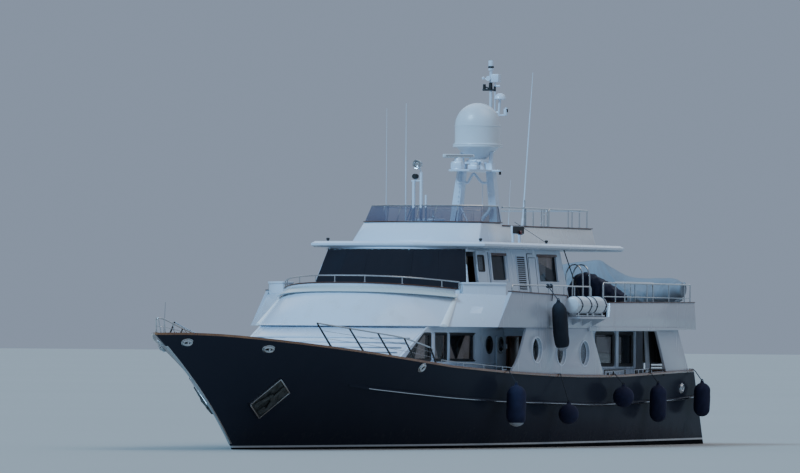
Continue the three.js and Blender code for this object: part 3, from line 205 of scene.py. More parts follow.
# Hull: welded steel plating faired and sprayed navy, in one shell with the bulwarks and the main deck.
# Half of it is a grid bent to the lines below, then mirrored; the swim platform is cut into its stern.
# Columns: x at the rail, half breadth there, height of the rail.
RAIL = [
    (15.62, 0.03, 3.035), (15.5, 0.11, 3.04), (15.2, 0.265, 3.045), (14.5, 0.61, 3.04), (13.5, 1.085, 3.003),
    (12, 1.705, 2.897), (10, 2.39, 2.735), (8, 2.91, 2.567), (6, 3.28, 2.388), (4, 3.51, 2.226),
    (2, 3.63, 2.135), (0, 3.66, 2.058), (-4, 3.66, 1.965), (-8, 3.58, 1.955), (-12, 3.42, 2.035),
    (-15.3, 3.22, 2.105),
]
# Columns: x at the waterline, half breadth there, depth of the hull below it.
WATER = [
    (10.65, 0.03, 0.45), (9.5, 0.43, 1.0), (8, 0.95, 1.25), (6, 1.6, 1.38), (4, 2.18, 1.43), (2, 2.65, 1.45),
    (0, 2.98, 1.45), (-3, 3.25, 1.42), (-6, 3.33, 1.33), (-10, 3.26, 1.1), (-14, 3.06, 0.78),
    (-17.05, 2.85, 0.52),
]
# Columns: x, height of the main deck.
DECK = [(15, 2.19), (10, 1.85), (6, 1.53), (2.5, 1.29), (0, 1.2), (-8, 1.11), (-15.3, 1.25)]
STEM_HALF = 0.03
STEM_HOLLOW = 0.325
STEM_RAKE_LOW = 1.1
TRANSOM_RAKE_LOW = -0.3
FLARE = 0.75
BILGE_DROP = 2.3
BILGE_ROUND = 0.62
BULWARK = 0.12
WELL_START = 0.024
WELL_END = 0.985


def between(a, b, share):
    return a + (b - a) * share


def spaced(a, b, steps):
    """Even steps from a to b, both ends with them."""
    return [between(a, b, i / steps) for i in range(steps + 1)]


def smooth(table, x, column=1):
    """A column of a table whose first column falls, read at x along a smooth curve through its rows."""
    last = len(table) - 1
    if x >= table[0][0] or x <= table[last][0]:
        return table[0 if x >= table[0][0] else last][column]
    i = next(k for k in range(last) if table[k + 1][0] <= x)
    near, far = table[i], table[i + 1]
    before, after = table[max(i - 1, 0)], table[min(i + 2, last)]
    slope_near = (far[column] - before[column]) / (far[0] - before[0])
    slope_far = (after[column] - near[column]) / (after[0] - near[0])
    width = far[0] - near[0]
    t = (x - near[0]) / width
    return (
        near[column] * (2 * t**3 - 3 * t**2 + 1)
        + far[column] * (3 * t**2 - 2 * t**3)
        + slope_near * width * (t**3 - 2 * t**2 + t)
        + slope_far * width * (t**3 - t**2)
    )


def hull_at(u, z):
    """A point of the port side at run u, 0 at the stem and 1 at the transom, and height z."""
    rail_x = between(RAIL[0][0], RAIL[-1][0], u)
    water_x = between(WATER[0][0], WATER[-1][0], u)
    water_y = smooth(WATER, water_x)
    if z < 0:
        fall = min(-z / smooth(WATER, water_x, 2), 1)
        x = water_x + between(STEM_RAKE_LOW, TRANSOM_RAKE_LOW, u) * z
        return Vector((x, max(water_y * (1 - fall**BILGE_DROP) ** BILGE_ROUND, STEM_HALF), z))
    rise = min(z / smooth(RAIL, rail_x, 2), 1)
    hollow = STEM_HOLLOW * (1 - u) ** 2
    x = between(water_x, rail_x, rise * (1 - hollow) + rise * rise * hollow)
    y = between(water_y, smooth(RAIL, rail_x), rise ** (1 + FLARE * (1 - u) ** 4))
    return Vector((x, max(y, STEM_HALF), z))


def run_at(x, z):
    low, high = 0, 1
    for _ in range(30):
        middle = (low + high) / 2
        low, high = (middle, high) if hull_at(middle, z).x > x else (low, middle)
    return low


def side_at(x, z):
    """The port side's point at x and height z, and the way the side faces there."""
    u = run_at(x, z)
    step = 0.002
    spot = hull_at(u, z)
    facing = (hull_at(u + step, z) - spot).cross(hull_at(u, z + 0.05) - spot).normalized()
    return spot, facing if facing.y > 0 else -facing


def rail_top(x):
    return smooth(RAIL, x, 2)


def deck_at(x):
    return smooth(DECK, x)


def coat(verts, finish):
    """Gives the faces round some points one of their piece's paints."""
    for face in {f for v in verts for f in v.link_faces}:
        face.material_index = finish


def skin(bm, rings, closed=True, finish=0):
    """A grid bent through rings of points, merged where they meet."""
    rows = len(rings) - 1
    columns = len(rings[0]) - (0 if closed else 1)
    made = bmesh.ops.create_grid(bm, x_segments=rows, y_segments=columns, size=0.5)["verts"]
    for vert in made:
        ring = rings[round((vert.co.x + 0.5) * rows)]
        vert.co = ring[round((vert.co.y + 0.5) * columns) % len(ring)]
    coat(made, finish)
    bmesh.ops.remove_doubles(bm, verts=made, dist=1e-5)


def both_sides(bm):
    """Adds the starboard half to a port half."""
    bmesh.ops.mirror(bm, geom=bm.verts[:] + bm.edges[:] + bm.faces[:], axis="Y", merge_dist=1e-4)


def piece(name, bm, *paints, pair=False, body="yacht", sharp=32, slot=None, replaces=()):
    """Closes and faces a mesh, shades it smooth up to an angle, and makes it a piece that rides on a body."""
    if pair:
        both_sides(bm)
    bmesh.ops.holes_fill(bm, edges=[e for e in bm.edges if e.is_boundary], sides=0)
    bmesh.ops.recalc_face_normals(bm, faces=bm.faces)
    for face in bm.faces:
        face.smooth = True
    for edge in bm.edges:
        edge.smooth = edge.calc_face_angle(0) < math.radians(sharp)
    mesh = bpy.data.meshes.new(name)
    bm.to_mesh(mesh)
    bm.free()
    for paint in paints:
        mesh.materials.append(paint.material)
    made = bpy.data.objects.new(name, mesh)
    bpy.context.scene.collection.objects.link(made)
    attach(made, body)
    if replaces:
        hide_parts(*replaces)
    return made


navy = Paint("navy_topsides", (0.027, 0.031, 0.046), 0.24, Specular_IOR_Level=0.02)
BOOT_LINE = 0.105
line_height = BOOT_LINE - navy.x * 0.003
boot = (navy.z - line_height).line(0, 0.022, 0.006)
below = 1 - (navy.z - line_height).ramp(-0.022, -0.018)
runs = navy.noise(1.1, 4, (1, 1, 0.25)).ramp(0.52, 0.75)
splash = (1 - navy.z.ramp(0.1, 0.9)) * navy.noise(6, 5).ramp(0.45, 0.7)
navy.coloured(runs * 0.25, (0.036, 0.041, 0.058)).coloured(splash * 0.35, (0.03, 0.034, 0.04))
navy.coloured(below, (0.008, 0.009, 0.012)).coloured(boot, (0.62, 0.65, 0.68))
navy.rough(0.2 + runs * 0.05 + splash * 0.18 + below * 0.5)
navy.bumped(navy.noise(0.55, 2, (1, 1, 1.6)), 0.02)


def enamel(name, color, soiled, fresh):
    """White topside enamel with faint rain streaks, soiled in places and freshly touched up in others."""
    paint = Paint(name, color, 0.28, Coat_Weight=0.25, Coat_Roughness=0.1)
    stain = paint.noise(1.4, 5, (1.6, 1.6, 0.12)).ramp(0.5, 0.78)
    paint.coloured(stain * 0.5, soiled).coloured(paint.noise(0.35, 3).ramp(0.4, 0.7) * 0.35, fresh)
    paint.rough(0.24 + stain * 0.16)
    return paint.bumped(paint.noise(0.8, 1), 0.004)


# The white is given a blue cast: painted sky light on what is white paint.
white = enamel("white_enamel", (0.67, 0.75, 0.86), (0.57, 0.60, 0.63), (0.70, 0.79, 0.90))

deck_teak = Paint("laid_teak", (0.34, 0.27, 0.19), 0.7)
PLANK = 0.055
plank_place = deck_teak.y * (1 / PLANK)
plank_number = plank_place.math("FLOOR", plank_place)
seam = (deck_teak.y.rest(PLANK) - 0.5).size().ramp(0.44, 0.47)
butt = (deck_teak.x + plank_number * 0.83).rest(2.4).ramp(0.994, 0.998)
grain = deck_teak.noise(9, 6, (0.5, 9, 1))
tone = deck_teak.add("TexWhiteNoise", {"noise_dimensions": "1D"}, W=plank_number)
deck_teak.coloured(tone * 0.7, (0.42, 0.34, 0.25))
deck_teak.coloured(grain.ramp(0.35, 0.75) * 0.5, (0.26, 0.21, 0.155))
deck_teak.coloured(seam.math("MAXIMUM", seam, butt), (0.015, 0.015, 0.016))
deck_teak.rough(0.62 + grain * 0.2)
deck_teak.bumped(grain * 0.25 - seam, 0.003)

RUN_STEPS = 110
SUNK_STEPS = 12
RAISED_STEPS = 16
INNER_STEPS = 4
DECK_STEPS = 6


def hull_ring(u, well):
    """A port half section from the keel's middle over the rail to the deck's middle."""
    rail_x = between(RAIL[0][0], RAIL[-1][0], u)
    depth = smooth(WATER, between(WATER[0][0], WATER[-1][0], u), 2)
    top = smooth(RAIL, rail_x, 2)
    sunk = [-depth * math.cos(math.pi / 2 * i / SUNK_STEPS) for i in range(SUNK_STEPS)]
    raised = [top * i / RAISED_STEPS for i in range(RAISED_STEPS + 1)]
    ring = [hull_at(u, z) for z in sunk + raised]
    ring.insert(0, Vector((ring[0].x, 0, ring[0].z)))
    floor_z = top - 0.001
    if well:
        floor_z = top - 0.85
        for _ in range(6):
            floor_z = deck_at(hull_at(u, floor_z).x)
    inside = [hull_at(u, between(top, floor_z, i / INNER_STEPS)) for i in range(INNER_STEPS + 1)]
    ring += [Vector((p.x, max(p.y - BULWARK, 0), p.z)) for p in inside]
    edge = ring[-1]
    ring += [Vector((edge.x, edge.y * (1 - (i + 1) / DECK_STEPS), edge.z)) for i in range(DECK_STEPS)]
    return ring


hull_mesh = bmesh.new()
bow_runs = [0.002 * i * i for i in range(4)]
steps = [i / RUN_STEPS for i in range(RUN_STEPS + 1)]
well_runs = [WELL_START] + [u for u in steps if WELL_START < u < WELL_END] + [WELL_END]
stem = [Vector((p.x + 0.02, 0, p.z)) for p in hull_ring(0, False)]
rings = [stem] + [hull_ring(u, False) for u in bow_runs + [WELL_START - 1e-4]]
rings += [hull_ring(u, True) for u in well_runs] + [hull_ring(u, False) for u in (WELL_END + 1e-4, 1)]
skin(hull_mesh, rings, closed=False)
for face in hull_mesh.faces:
    middle = face.calc_center_median()
    outer = hull_at(run_at(middle.x, middle.z), middle.z).y
    if middle.z > 1 and middle.y < outer - BULWARK * 0.4:
        face.material_index = 1 if abs(face.normal.z) < 0.6 else 2
both_sides(hull_mesh)
# The stern's recess: the transom is opened above the platform, with a wall forward and a teak floor.
# The floor is laid on the plate, and the wall is welded to it all round.
PLATFORM_Z, PLATFORM_FORE, PLATFORM_HALF = 0.48, -15.56, 2.35
STERN_X = -15.5


def spread(edge, axis):
    """How far apart an edge's ends are along an axis."""
    return abs(edge.verts[0].co[axis] - edge.verts[1].co[axis])


def transom_faces():
    return [f for f in hull_mesh.faces if f.calc_center_median().x < STERN_X and abs(f.normal.x) > 0.5]


bmesh.ops.holes_fill(hull_mesh, edges=[e for e in hull_mesh.edges if e.is_boundary], sides=0)
hull_mesh.normal_update()
for cut_at, cut_way in (
    ((0, 0, PLATFORM_Z), (0, 0, 1)), ((PLATFORM_FORE, 0, 0), (1, 0, 0)),
    ((0, PLATFORM_HALF, 0), (0, 1, 0)), ((0, -PLATFORM_HALF, 0), (0, 1, 0)),
):
    near = transom_faces()
    cut = near + list({e for f in near for e in f.edges}) + list({v for f in near for v in f.verts})
    bmesh.ops.bisect_plane(hull_mesh, geom=cut, plane_co=cut_at, plane_no=cut_way)
    hull_mesh.normal_update()
opened = []
for face in transom_faces():
    middle = face.calc_center_median()
    if middle.x < PLATFORM_FORE and middle.z > PLATFORM_Z and abs(middle.y) < PLATFORM_HALF:
        opened.append(face)
bmesh.ops.delete(hull_mesh, geom=opened, context="FACES")
rims = [e for e in hull_mesh.edges if e.is_boundary and spread(e, 1) > 4 and e.verts[0].co.x < STERN_X]
head = max(rims, key=lambda e: e.verts[0].co.z)
sill = [v.co for v in hull_mesh.verts if abs(v.co.z - PLATFORM_Z) < 1e-4]
sill_x = min(spot.x for spot in sill if abs(abs(spot.y) - PLATFORM_HALF) < 1e-4)
for finish in (0, 2):
    grown = bmesh.ops.extrude_edge_only(hull_mesh, edges=[head])["geom"]
    for item in grown:
        if isinstance(item, bmesh.types.BMVert):
            item.co.z = PLATFORM_Z
            item.co.x = sill_x if finish else item.co.x
        elif isinstance(item, bmesh.types.BMFace):
            item.material_index = finish
    edges = [i for i in grown if isinstance(i, bmesh.types.BMEdge) and not i.link_faces[1:]]
    head = next(e for e in edges if spread(e, 2) < 1e-5 and spread(e, 1) > 1)
bmesh.ops.remove_doubles(hull_mesh, verts=[v for v in hull_mesh.verts if v.co.x < -16], dist=1e-4)
piece(
    "hull_shell", hull_mesh, navy, white, deck_teak, slot="navy_paint",
    replaces=("hull", "bulwark_port", "bulwark_starboard"),
)


# Capping: teak planks scarfed end to end along the bulwarks' tops, bedded, screwed and varnished.
# Each side's frame node has the right shape, so it is merged, its edges eased and its grain laid.
def merged(node):
    """A copy of a frame node with its triangles' points merged."""
    bm = bmesh.new()
    bm.from_mesh(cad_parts[node].data)
    coat(bm.verts, 0)
    bmesh.ops.remove_doubles(bm, verts=bm.verts, dist=2e-4)
    return bm


def flatten(bm):
    bmesh.ops.dissolve_limit(bm, angle_limit=math.radians(0.4), verts=bm.verts, edges=bm.edges)


def corners_of(bm, angle=50):
    return [e for e in bm.edges if e.calc_face_angle(0) > math.radians(angle)]


def ease(bm, edges, offset, segments=2):
    """Rounds edges over, and gives back the faces that round them."""
    return bmesh.ops.bevel(
        bm, geom=edges, offset=offset, segments=segments, profile=0.5, affect="EDGES", material=-1,
        clamp_overlap=True,
    )["faces"]


def refined(node, *paints, edge=0.012, body="yacht", slot=None):
    """A copy of a frame node with its triangles merged, its edges eased and its curves shaded smooth."""
    bm = merged(node)
    flatten(bm)
    if edge:
        ease(bm, corners_of(bm, 36), edge)
    return piece(node + "_finished", bm, *paints, body=body, slot=slot, replaces=(node,))


def refined_pair(node, *paints, **fixing):
    for side in ("port", "starboard"):
        refined(f"{node}_{side}", *paints, **fixing)


teak = Paint("varnished_teak", (0.25, 0.120, 0.052), 0.22, Coat_Weight=0.8, Coat_Roughness=0.06)
teak_grain = teak.noise(5, 6, (0.35, 7, 7))
scarf = teak.x.rest(2.9).ramp(0.994, 0.997)
teak.coloured(teak_grain.ramp(0.35, 0.7), (0.17, 0.06, 0.02)).coloured(scarf, (0.05, 0.02, 0.01))
teak.coloured(teak.noise(0.8, 3).ramp(0.5, 0.75) * 0.6, (0.42, 0.22, 0.10))
teak.rough(0.18 + teak_grain * 0.15)
teak.bumped(teak_grain - scarf, 0.001)
refined_pair("cap_rail", teak, edge=0.018, slot="teak")

# Rubbing strake: a half round steel moulding along each side, faced with a polished strip.
# Columns: x, height of its middle.
STRAKE = [
    (7.9, 1.75), (7.25, 1.69), (3.65, 1.45), (0.92, 1.33), (-1.48, 1.27), (-4.07, 1.23), (-6.86, 1.19),
    (-12.9, 1.29), (-14.25, 1.33), (-15.7, 1.39),
]
# Profiles: how far out as a share of the strake, and height.
STRAKE_PROFILE = [(-0.05, -0.05), (0.6, -0.045), (1, -0.022), (1, 0.022), (0.6, 0.045), (-0.05, 0.05)]
STRIP_PROFILE = [(0.9, -0.012), (1.08, -0.009), (1.12, 0), (1.08, 0.009), (0.9, 0.012)]
STRAKE_OUT = 0.068
STRIP_START = 7.15
STRAKE_STEPS = 60
steel = Paint("polished_steel", (0.62, 0.64, 0.66), 0.16, Metallic=1)
smear = steel.noise(30, 3)
steel.coloured(smear.ramp(0.45, 0.75) * 0.5, (0.46, 0.47, 0.48)).rough(0.12 + smear * 0.16)
steel.bumped(steel.noise(120, 2), 0.0006)
strake_mesh = bmesh.new()
strip_mesh = bmesh.new()
strake_rings, strip_rings = [], []
for i in range(STRAKE_STEPS + 1):
    x = between(STRAKE[0][0], STRAKE[-1][0] - 0.2, i / STRAKE_STEPS)
    spot, facing = side_at(x, smooth(STRAKE, x))
    out = facing * STRAKE_OUT * min(1, 0.2 + i / 3)
    strake_rings.append([spot + out * share + Vector((0, 0, rise)) for share, rise in STRAKE_PROFILE])
    if x < STRIP_START:
        strip_rings.append([spot + out * share + Vector((0, 0, rise)) for share, rise in STRIP_PROFILE])
skin(strake_mesh, strake_rings)
skin(strip_mesh, strip_rings)
piece("strake", strake_mesh, navy, slot="navy_paint", pair=True)
piece("strake_strip", strip_mesh, steel, slot="steel", pair=True)


# Stem guard and fairleads: castings of polished steel let into the plating where lines and chain chafe.
# They are welded round their edges and ground flush, so that no bolt shows.
def tube(bm, points, radius, sides=10, finish=0):
    """A round bar or tube that follows points."""
    points = [Vector(p) for p in points]
    across = (points[1] - points[0]).orthogonal()
    rings = []
    for i, point in enumerate(points):
        way = (points[min(i + 1, len(points) - 1)] - points[max(i - 1, 0)]).normalized()
        across = (across - way * across.dot(way)).normalized()
        turns = [math.tau * k / sides for k in range(sides)]
        rings.append(
            [point + (across * math.cos(t) + way.cross(across) * math.sin(t)) * radius for t in turns]
        )
    skin(bm, rings, finish=finish)


def oval(middle, along, across, steps=24):
    """A closed path of points round a middle."""
    turns = [math.tau * k / steps for k in range(steps + 1)]
    return [middle + along * math.cos(t) + across * math.sin(t) for t in turns]


stem_guard = bmesh.new()
# Columns: how far ahead of the stem, half width.
GUARD_PROFILE = ((-0.09, 0.052), (0.032, 0.03), (0.045, 0), (0.032, -0.03), (-0.09, -0.052))
noses = [hull_at(0, z) for z in spaced(0.15, 2.75, 24)]
skin(stem_guard, [[Vector((nose.x + a, b, nose.z)) for a, b in GUARD_PROFILE] for nose in noses])
piece("stem_guard", stem_guard, steel, slot="steel")
# Columns: x, height, half length, half height.
FAIRLEADS = [
    (14.55, 2.86, 0.15, 0.075), (11.85, 2.70, 0.17, 0.08), (5.43, 2.22, 0.09, 0.09),
    (-14.23, 1.62, 0.1, 0.1),
]
leads = bmesh.new()
throat_shades = bmesh.new()
for x, z, long, tall in FAIRLEADS:
    spot, facing = side_at(x, z)
    along = (side_at(x + 0.1, z + 0.015)[0] - side_at(x - 0.1, z - 0.015)[0]).normalized()
    across = facing.cross(along).normalized()
    tube(leads, oval(spot + facing * 0.025, along * long, across * tall), 0.042, 12)
    tube(leads, oval(spot + facing * 0.005, along * (long + 0.04), across * (tall + 0.04)), 0.022, 8)
    if long > tall:
        tube(leads, [spot + across * tall, spot + facing * 0.07, spot - across * tall], 0.028)
    # A black disc in each opening is painted shade, standing in for the dark hole through the plating.
    throat_shade = bmesh.ops.create_circle(throat_shades, cap_ends=True, segments=24, radius=1)["verts"]
    place = Matrix((along * long, across * tall, facing)).transposed().to_4x4()
    bmesh.ops.transform(throat_shades, verts=throat_shade, matrix=Matrix.Translation(spot + facing * 0.012) @ place)
    throat_shade_faces = list({f for v in throat_shade for f in v.link_faces})
    bmesh.ops.solidify(throat_shades, geom=throat_shade_faces, thickness=0.02)
piece("fairleads", leads, steel, slot="steel", pair=True)


def mottled(name, color, other, roughness, patch=(3, 3), high=0.7, share=1.0, grain=(200, 2), depth=0.001):
    """A plain finish with patches of another colour and an even grain."""
    paint = Paint(name, color, roughness)
    paint.coloured(paint.noise(*patch).ramp(0.4, high) * share, other)
    return paint.bumped(paint.noise(*grain), depth)


black = mottled(
    "black_rubber", (0.012, 0.012, 0.013), (0.03, 0.03, 0.032), 0.6, (20, 4), high=0.8, share=0.5,
    grain=(90, 3),
)
piece("fairlead_throat_shades", throat_shades, black, pair=True)


# Anchors: a stockless anchor each side, hove up into a shallow recess framed in worn steel.
# The anchor is cast, and its chain holds it against the frame, which is welded to the plating.
def box(bm, low, high, edge=0.01, finish=0, place=None):
    """A block between two corners, its edges eased, moved by place."""
    low, high = Vector(low), Vector(high)
    size = Matrix.Diagonal((*(high - low), 1))
    made = bmesh.ops.create_cube(bm, size=1, matrix=Matrix.Translation((low + high) / 2) @ size)["verts"]
    rounds = ease(bm, list({e for v in made for e in v.link_edges}), edge)
    made = list({v for f in rounds for v in f.verts})
    coat(made, finish)
    if place:
        bmesh.ops.transform(bm, matrix=place, verts=made)


def drum(bm, foot, head, low, high=None, sides=24, finish=0):
    """A round bar or cone between two points."""
    foot, head = Vector(foot), Vector(head)
    way = head - foot
    turn = way.to_track_quat("Z", "Y").to_matrix().to_4x4()
    made = bmesh.ops.create_cone(
        bm, cap_ends=True, segments=sides, radius1=low, radius2=low if high is None else high,
        depth=way.length,
        matrix=Matrix.Translation((foot + head) / 2) @ turn,
    )["verts"]
    coat(made, finish)


ANCHOR_X, ANCHOR_Z = 10.38, 1.40
worn_steel = Paint("worn_galvanised_steel", (0.10, 0.105, 0.10), 0.6, Metallic=0.6)
mottle = worn_steel.noise(7, 5)
worn_steel.coloured(mottle.ramp(0.45, 0.65), (0.045, 0.05, 0.048))
worn_steel.coloured(worn_steel.noise(16, 4).ramp(0.62, 0.72) * 0.7, (0.10, 0.05, 0.02))
worn_steel.rough(0.45 + mottle * 0.35).bumped(worn_steel.noise(40, 4), 0.003)
spot, _ = side_at(ANCHOR_X, ANCHOR_Z)
upper, lower = [side_at(ANCHOR_X - s * 0.205, ANCHOR_Z + s * 0.345)[0] for s in (1, -1)]
wide = side_at(ANCHOR_X + 0.36, ANCHOR_Z + 0.135)[0] - side_at(ANCHOR_X - 0.36, ANCHOR_Z - 0.135)[0]
long = (upper - lower).normalized()
out = wide.cross(long).normalized()
out = out if out.y > 0 else -out
anchor_place = Matrix((long, out.cross(long), out)).transposed().to_4x4()
anchor_place.translation = spot + out * 0.045
anchors = bmesh.new()
borders = bmesh.new()
box(anchors, (-0.52, -0.36, -0.16), (0.52, 0.36, 0.012), 0.004)
for a in (-1, 1):
    box(borders, (-0.55, a * 0.365 - 0.02, -0.16), (0.55, a * 0.365 + 0.02, 0.042), 0.008)
    box(borders, (a * 0.53 - 0.02, -0.385, -0.16), (a * 0.53 + 0.02, 0.385, 0.042), 0.008)
    flukes = [(0.02, a * 0.10, 0.05), (-0.2, a * 0.2, 0.075), (-0.46, a * 0.16, 0.05)]
    tube(anchors, flukes, 0.05, 8)
    box(anchors, (-0.46, a * 0.16 - 0.1, 0), (-0.24, a * 0.16 + 0.1, 0.07), 0.02)
box(anchors, (-0.03, -0.17, -0.01), (0.13, 0.17, 0.1), 0.03)
drum(anchors, (0.0, 0, 0.06), (0.48, 0, 0.05), 0.045, 0.035, 12)
tube(anchors, oval(Vector((0.42, 0, 0.06)), Vector((0.06, 0, 0)), Vector((0, 0.05, 0)), 16), 0.015, 8)
for bm in (anchors, borders):
    bmesh.ops.transform(bm, matrix=anchor_place, verts=bm.verts)
pockets = ("anchor_pocket_port", "anchor_pocket_starboard")
piece("anchors", anchors, worn_steel, slot="steel", replaces=pockets, pair=True)
piece("anchor_frames", borders, steel, slot="steel", pair=True)


# Guard rails of the fore deck: polished steel tube on raked posts, stepped on the capping, with thin wires.
# The posts stand in sockets screwed to the cap, and the wires run through them.
def curved(points, steps=6):
    """Points along a smooth curve through a few points."""
    points = [Vector(p) for p in points]
    found = []
    for i in range(len(points) - 1):
        a, b, c, d = (points[max(0, min(k, len(points) - 1))] for k in (i - 1, i, i + 1, i + 2))
        for k in range(steps):
            t = k / steps
            bend = a * 2 - b * 5 + c * 4 - d
            found.append(b + (c - a) * t / 2 + bend * t * t / 2 + (b * 3 - a - c * 3 + d) * t**3 / 2)
    return found + [points[-1]]


CAP_HEIGHT = 0.061
RAIL_TUBE = 0.021
# Columns: x of the foot, height of the post, how far its head leans inboard, and how far forward.
SIDE_POSTS = [
    (9.69, 0.62, 0.34, 0.15), (8.32, 0.60, 0.34, 0.15), (7.05, 0.59, 0.32, 0.14), (5.85, 0.57, 0.26, 0.12),
    (4.69, 0.42, 0.14, 0.06),
]
side_rails = bmesh.new()
feet = [Vector((x, smooth(RAIL, x) - 0.06, rail_top(x) + CAP_HEIGHT)) for x, *_ in SIDE_POSTS]
heads = [f + Vector((fore, -lean, tall)) for f, (_, tall, lean, fore) in zip(feet, SIDE_POSTS)]
tube(side_rails, curved(heads) + [heads[-1] + Vector((-0.25, -0.05, -0.06))], RAIL_TUBE, 12)
# Each post and its socket takes the black rubber paint: a painted dark reflection on what is polished steel.
for foot, head in zip(feet, heads):
    drum(side_rails, foot, head, 0.026, 0.022, 12, 1)
    drum(side_rails, foot - Vector((0, 0, 0.002)), foot + (head - foot) * 0.03, 0.042, 0.03, 16, 1)
for share in (0.34, 0.68):
    tube(side_rails, [f.lerp(h, share) for f, h in zip(feet, heads)], 0.006, 6)
piece(
    "fore_guard_rails", side_rails, steel, black, slot="steel",
    replaces=("side_rail_port", "side_rail_starboard"), pair=True,
)


def mirrored(points):
    return [Vector((p.x, -p.y, p.z)) for p in points]


# Columns: x, half breadth, height above the capping, of the bow rail's top tube.
PULPIT = [
    (14.35, 0.62, 0.0), (14.78, 0.40, 0.15), (15.15, 0.235, 0.30), (15.43, 0.11, 0.41), (15.56, 0, 0.445)
]
pulpit = bmesh.new()
port_rail = [Vector((x, y, rail_top(x) + up)) for x, y, up in PULPIT]
whole_rail = port_rail + mirrored(port_rail[-2::-1])
tube(pulpit, curved(whole_rail), 0.019, 12)
for head in whole_rail[1:-1]:
    foot_y = math.copysign(max(smooth(RAIL, head.x - 0.07) - 0.06, 0), head.y)
    foot = Vector((head.x - 0.07, foot_y, rail_top(head.x) + 0.05))
    drum(pulpit, foot, head, 0.015, 0.015, 10)
middle_rail = [p - Vector((0.03, 0, (p.z - rail_top(p.x)) * 0.5)) for p in whole_rail[1:-1]]
tube(pulpit, curved(middle_rail, 3), 0.009, 8)
drum(pulpit, (15.2, 0, 2.98), (15.1, 0, 3.9), 0.014, 0.009, 10)
piece("bow_pulpit_rail", pulpit, steel, slot="steel", replaces=("bow_pulpit",))

# Low hand rail on the capping amidships, and fender hooks: thin steel bar on short stubs.
# The stubs are screwed down into the teak.
hand_rails = bmesh.new()
for start, end in ((4.4, -0.9), (-7.4, -9.0), (-9.9, -11.4)):
    path = [
        Vector((x, smooth(RAIL, x) - 0.05, rail_top(x) + CAP_HEIGHT + 0.11)) for x in spaced(start, end, 8)
    ]
    drop = Vector((0, 0, 0.115))
    tube(hand_rails, [path[0] - drop, *path, path[-1] - drop], 0.012, 8)
    for p in path[2:-1:2]:
        drum(hand_rails, p - drop, p, 0.01, 0.01, 8)
piece("low_hand_rails", hand_rails, steel, slot="steel", pair=True)


# Windlass: a twin drum electric windlass in cast steel on a raised bed, its chains led to the anchors.
# It is bolted down through the deck and its shaft turns in cast bearings.
def turn(bm, profile, place, way=(0, 0, 1), steps=28, finish=0):
    """A profile of (radius, height) spun about an axis through place."""
    there = set(bm.verts)
    verts = [bm.verts.new((r, 0, h)) for r, h in profile]
    edges = [bm.edges.new(pair) for pair in zip(verts, verts[1:])]
    bmesh.ops.spin(
        bm, geom=verts + edges, axis=(0, 0, 1), cent=(0, 0, 0), angle=math.tau, steps=steps, use_merge=True
    )
    made = [v for v in bm.verts if v not in there]
    coat(made, finish)
    spin_place = Matrix.Translation(place) @ Vector(way).to_track_quat("Z", "Y").to_matrix().to_4x4()
    bmesh.ops.transform(bm, matrix=spin_place, verts=made)
    bmesh.ops.remove_doubles(bm, verts=made, dist=1e-5)


WINDLASS_X = 10.9
bed_z = deck_at(11)
windlass = bmesh.new()
box(windlass, (WINDLASS_X - 0.45, -0.62, bed_z - 0.02), (WINDLASS_X + 0.45, 0.62, bed_z + 0.16), 0.03, 1)
box(windlass, (WINDLASS_X - 0.2, -0.2, bed_z + 0.15), (WINDLASS_X + 0.2, 0.2, bed_z + 0.5), 0.05)
drum(windlass, (WINDLASS_X, -0.72, bed_z + 0.38), (WINDLASS_X, 0.72, bed_z + 0.38), 0.05)
gypsy = [
    (0.0, -0.09), (0.17, -0.09), (0.17, -0.06), (0.11, -0.03), (0.11, 0.03), (0.17, 0.06), (0.17, 0.09),
    (0.0, 0.09),
]
warping = [(0.0, -0.1), (0.14, -0.1), (0.13, -0.07), (0.085, 0), (0.085, 0.06), (0.13, 0.1), (0.0, 0.11)]
for s in (-1, 1):
    turn(windlass, gypsy, (WINDLASS_X, s * 0.36, bed_z + 0.38), (0, s, 0))
    turn(windlass, warping, (WINDLASS_X, s * 0.62, bed_z + 0.38), (0, s, 0))
    post, up = Vector((WINDLASS_X - 0.3, s * 0.36, bed_z + 0.15)), Vector((0, 0, 0.27))
    drum(windlass, post, post + up, 0.02)
    tube(windlass, oval(post + up, Vector((0.09, 0, 0)), Vector((0, 0.09, 0)), 18), 0.012, 8)
    pawl = post + Vector((0.64, 0, 0))
    drum(windlass, pawl, pawl + Vector((0, 0, 0.09)), 0.09, 0.07)
    for k in range(9):
        link = Vector((WINDLASS_X + 0.02 + k * 0.036, s * 0.36, bed_z + 0.485 - 0.0032 * k * k))
        flat = Vector((0, 0.026, 0)) if k % 2 else Vector((0, 0, 0.026))
        tube(windlass, oval(link, Vector((0.034, 0, 0)), flat, 10), 0.009, 6)
piece("windlass_gear", windlass, steel, white, slot="steel", replaces=("windlass",))

# Fore deck: mooring bitts, a raised hatch on its coaming, mushroom vents and a skylight, on the laid deck.
# The bitts and vents are painted steel, bolted through the planks, and the lid turns on two hinges.
bitts = bmesh.new()
for x in (12.6, 8.2, -13.9):
    z = deck_at(x)
    y = side_at(x, z)[0].y - 0.45
    box(bitts, (x - 0.28, y - 0.09, z - 0.01), (x + 0.28, y + 0.09, z + 0.03), 0.01)
    for s in (-1, 1):
        turn(
            bitts, [(0, 0), (0.055, 0), (0.055, 0.24), (0.08, 0.26), (0.08, 0.29), (0, 0.3)],
            (x + s * 0.16, y, z + 0.02),
        )
piece("mooring_bitts", bitts, steel, slot="steel", pair=True)
vents = bmesh.new()
for x, y in ((9.9, 0.95), (7.4, 1.5)):
    cap = [(0, 0), (0.1, 0), (0.09, 0.16), (0.17, 0.2), (0.19, 0.24), (0.15, 0.3), (0, 0.33)]
    turn(vents, cap, (x, y, deck_at(x) - 0.01))
piece("mushroom_vents", vents, steel, slot="steel", pair=True)
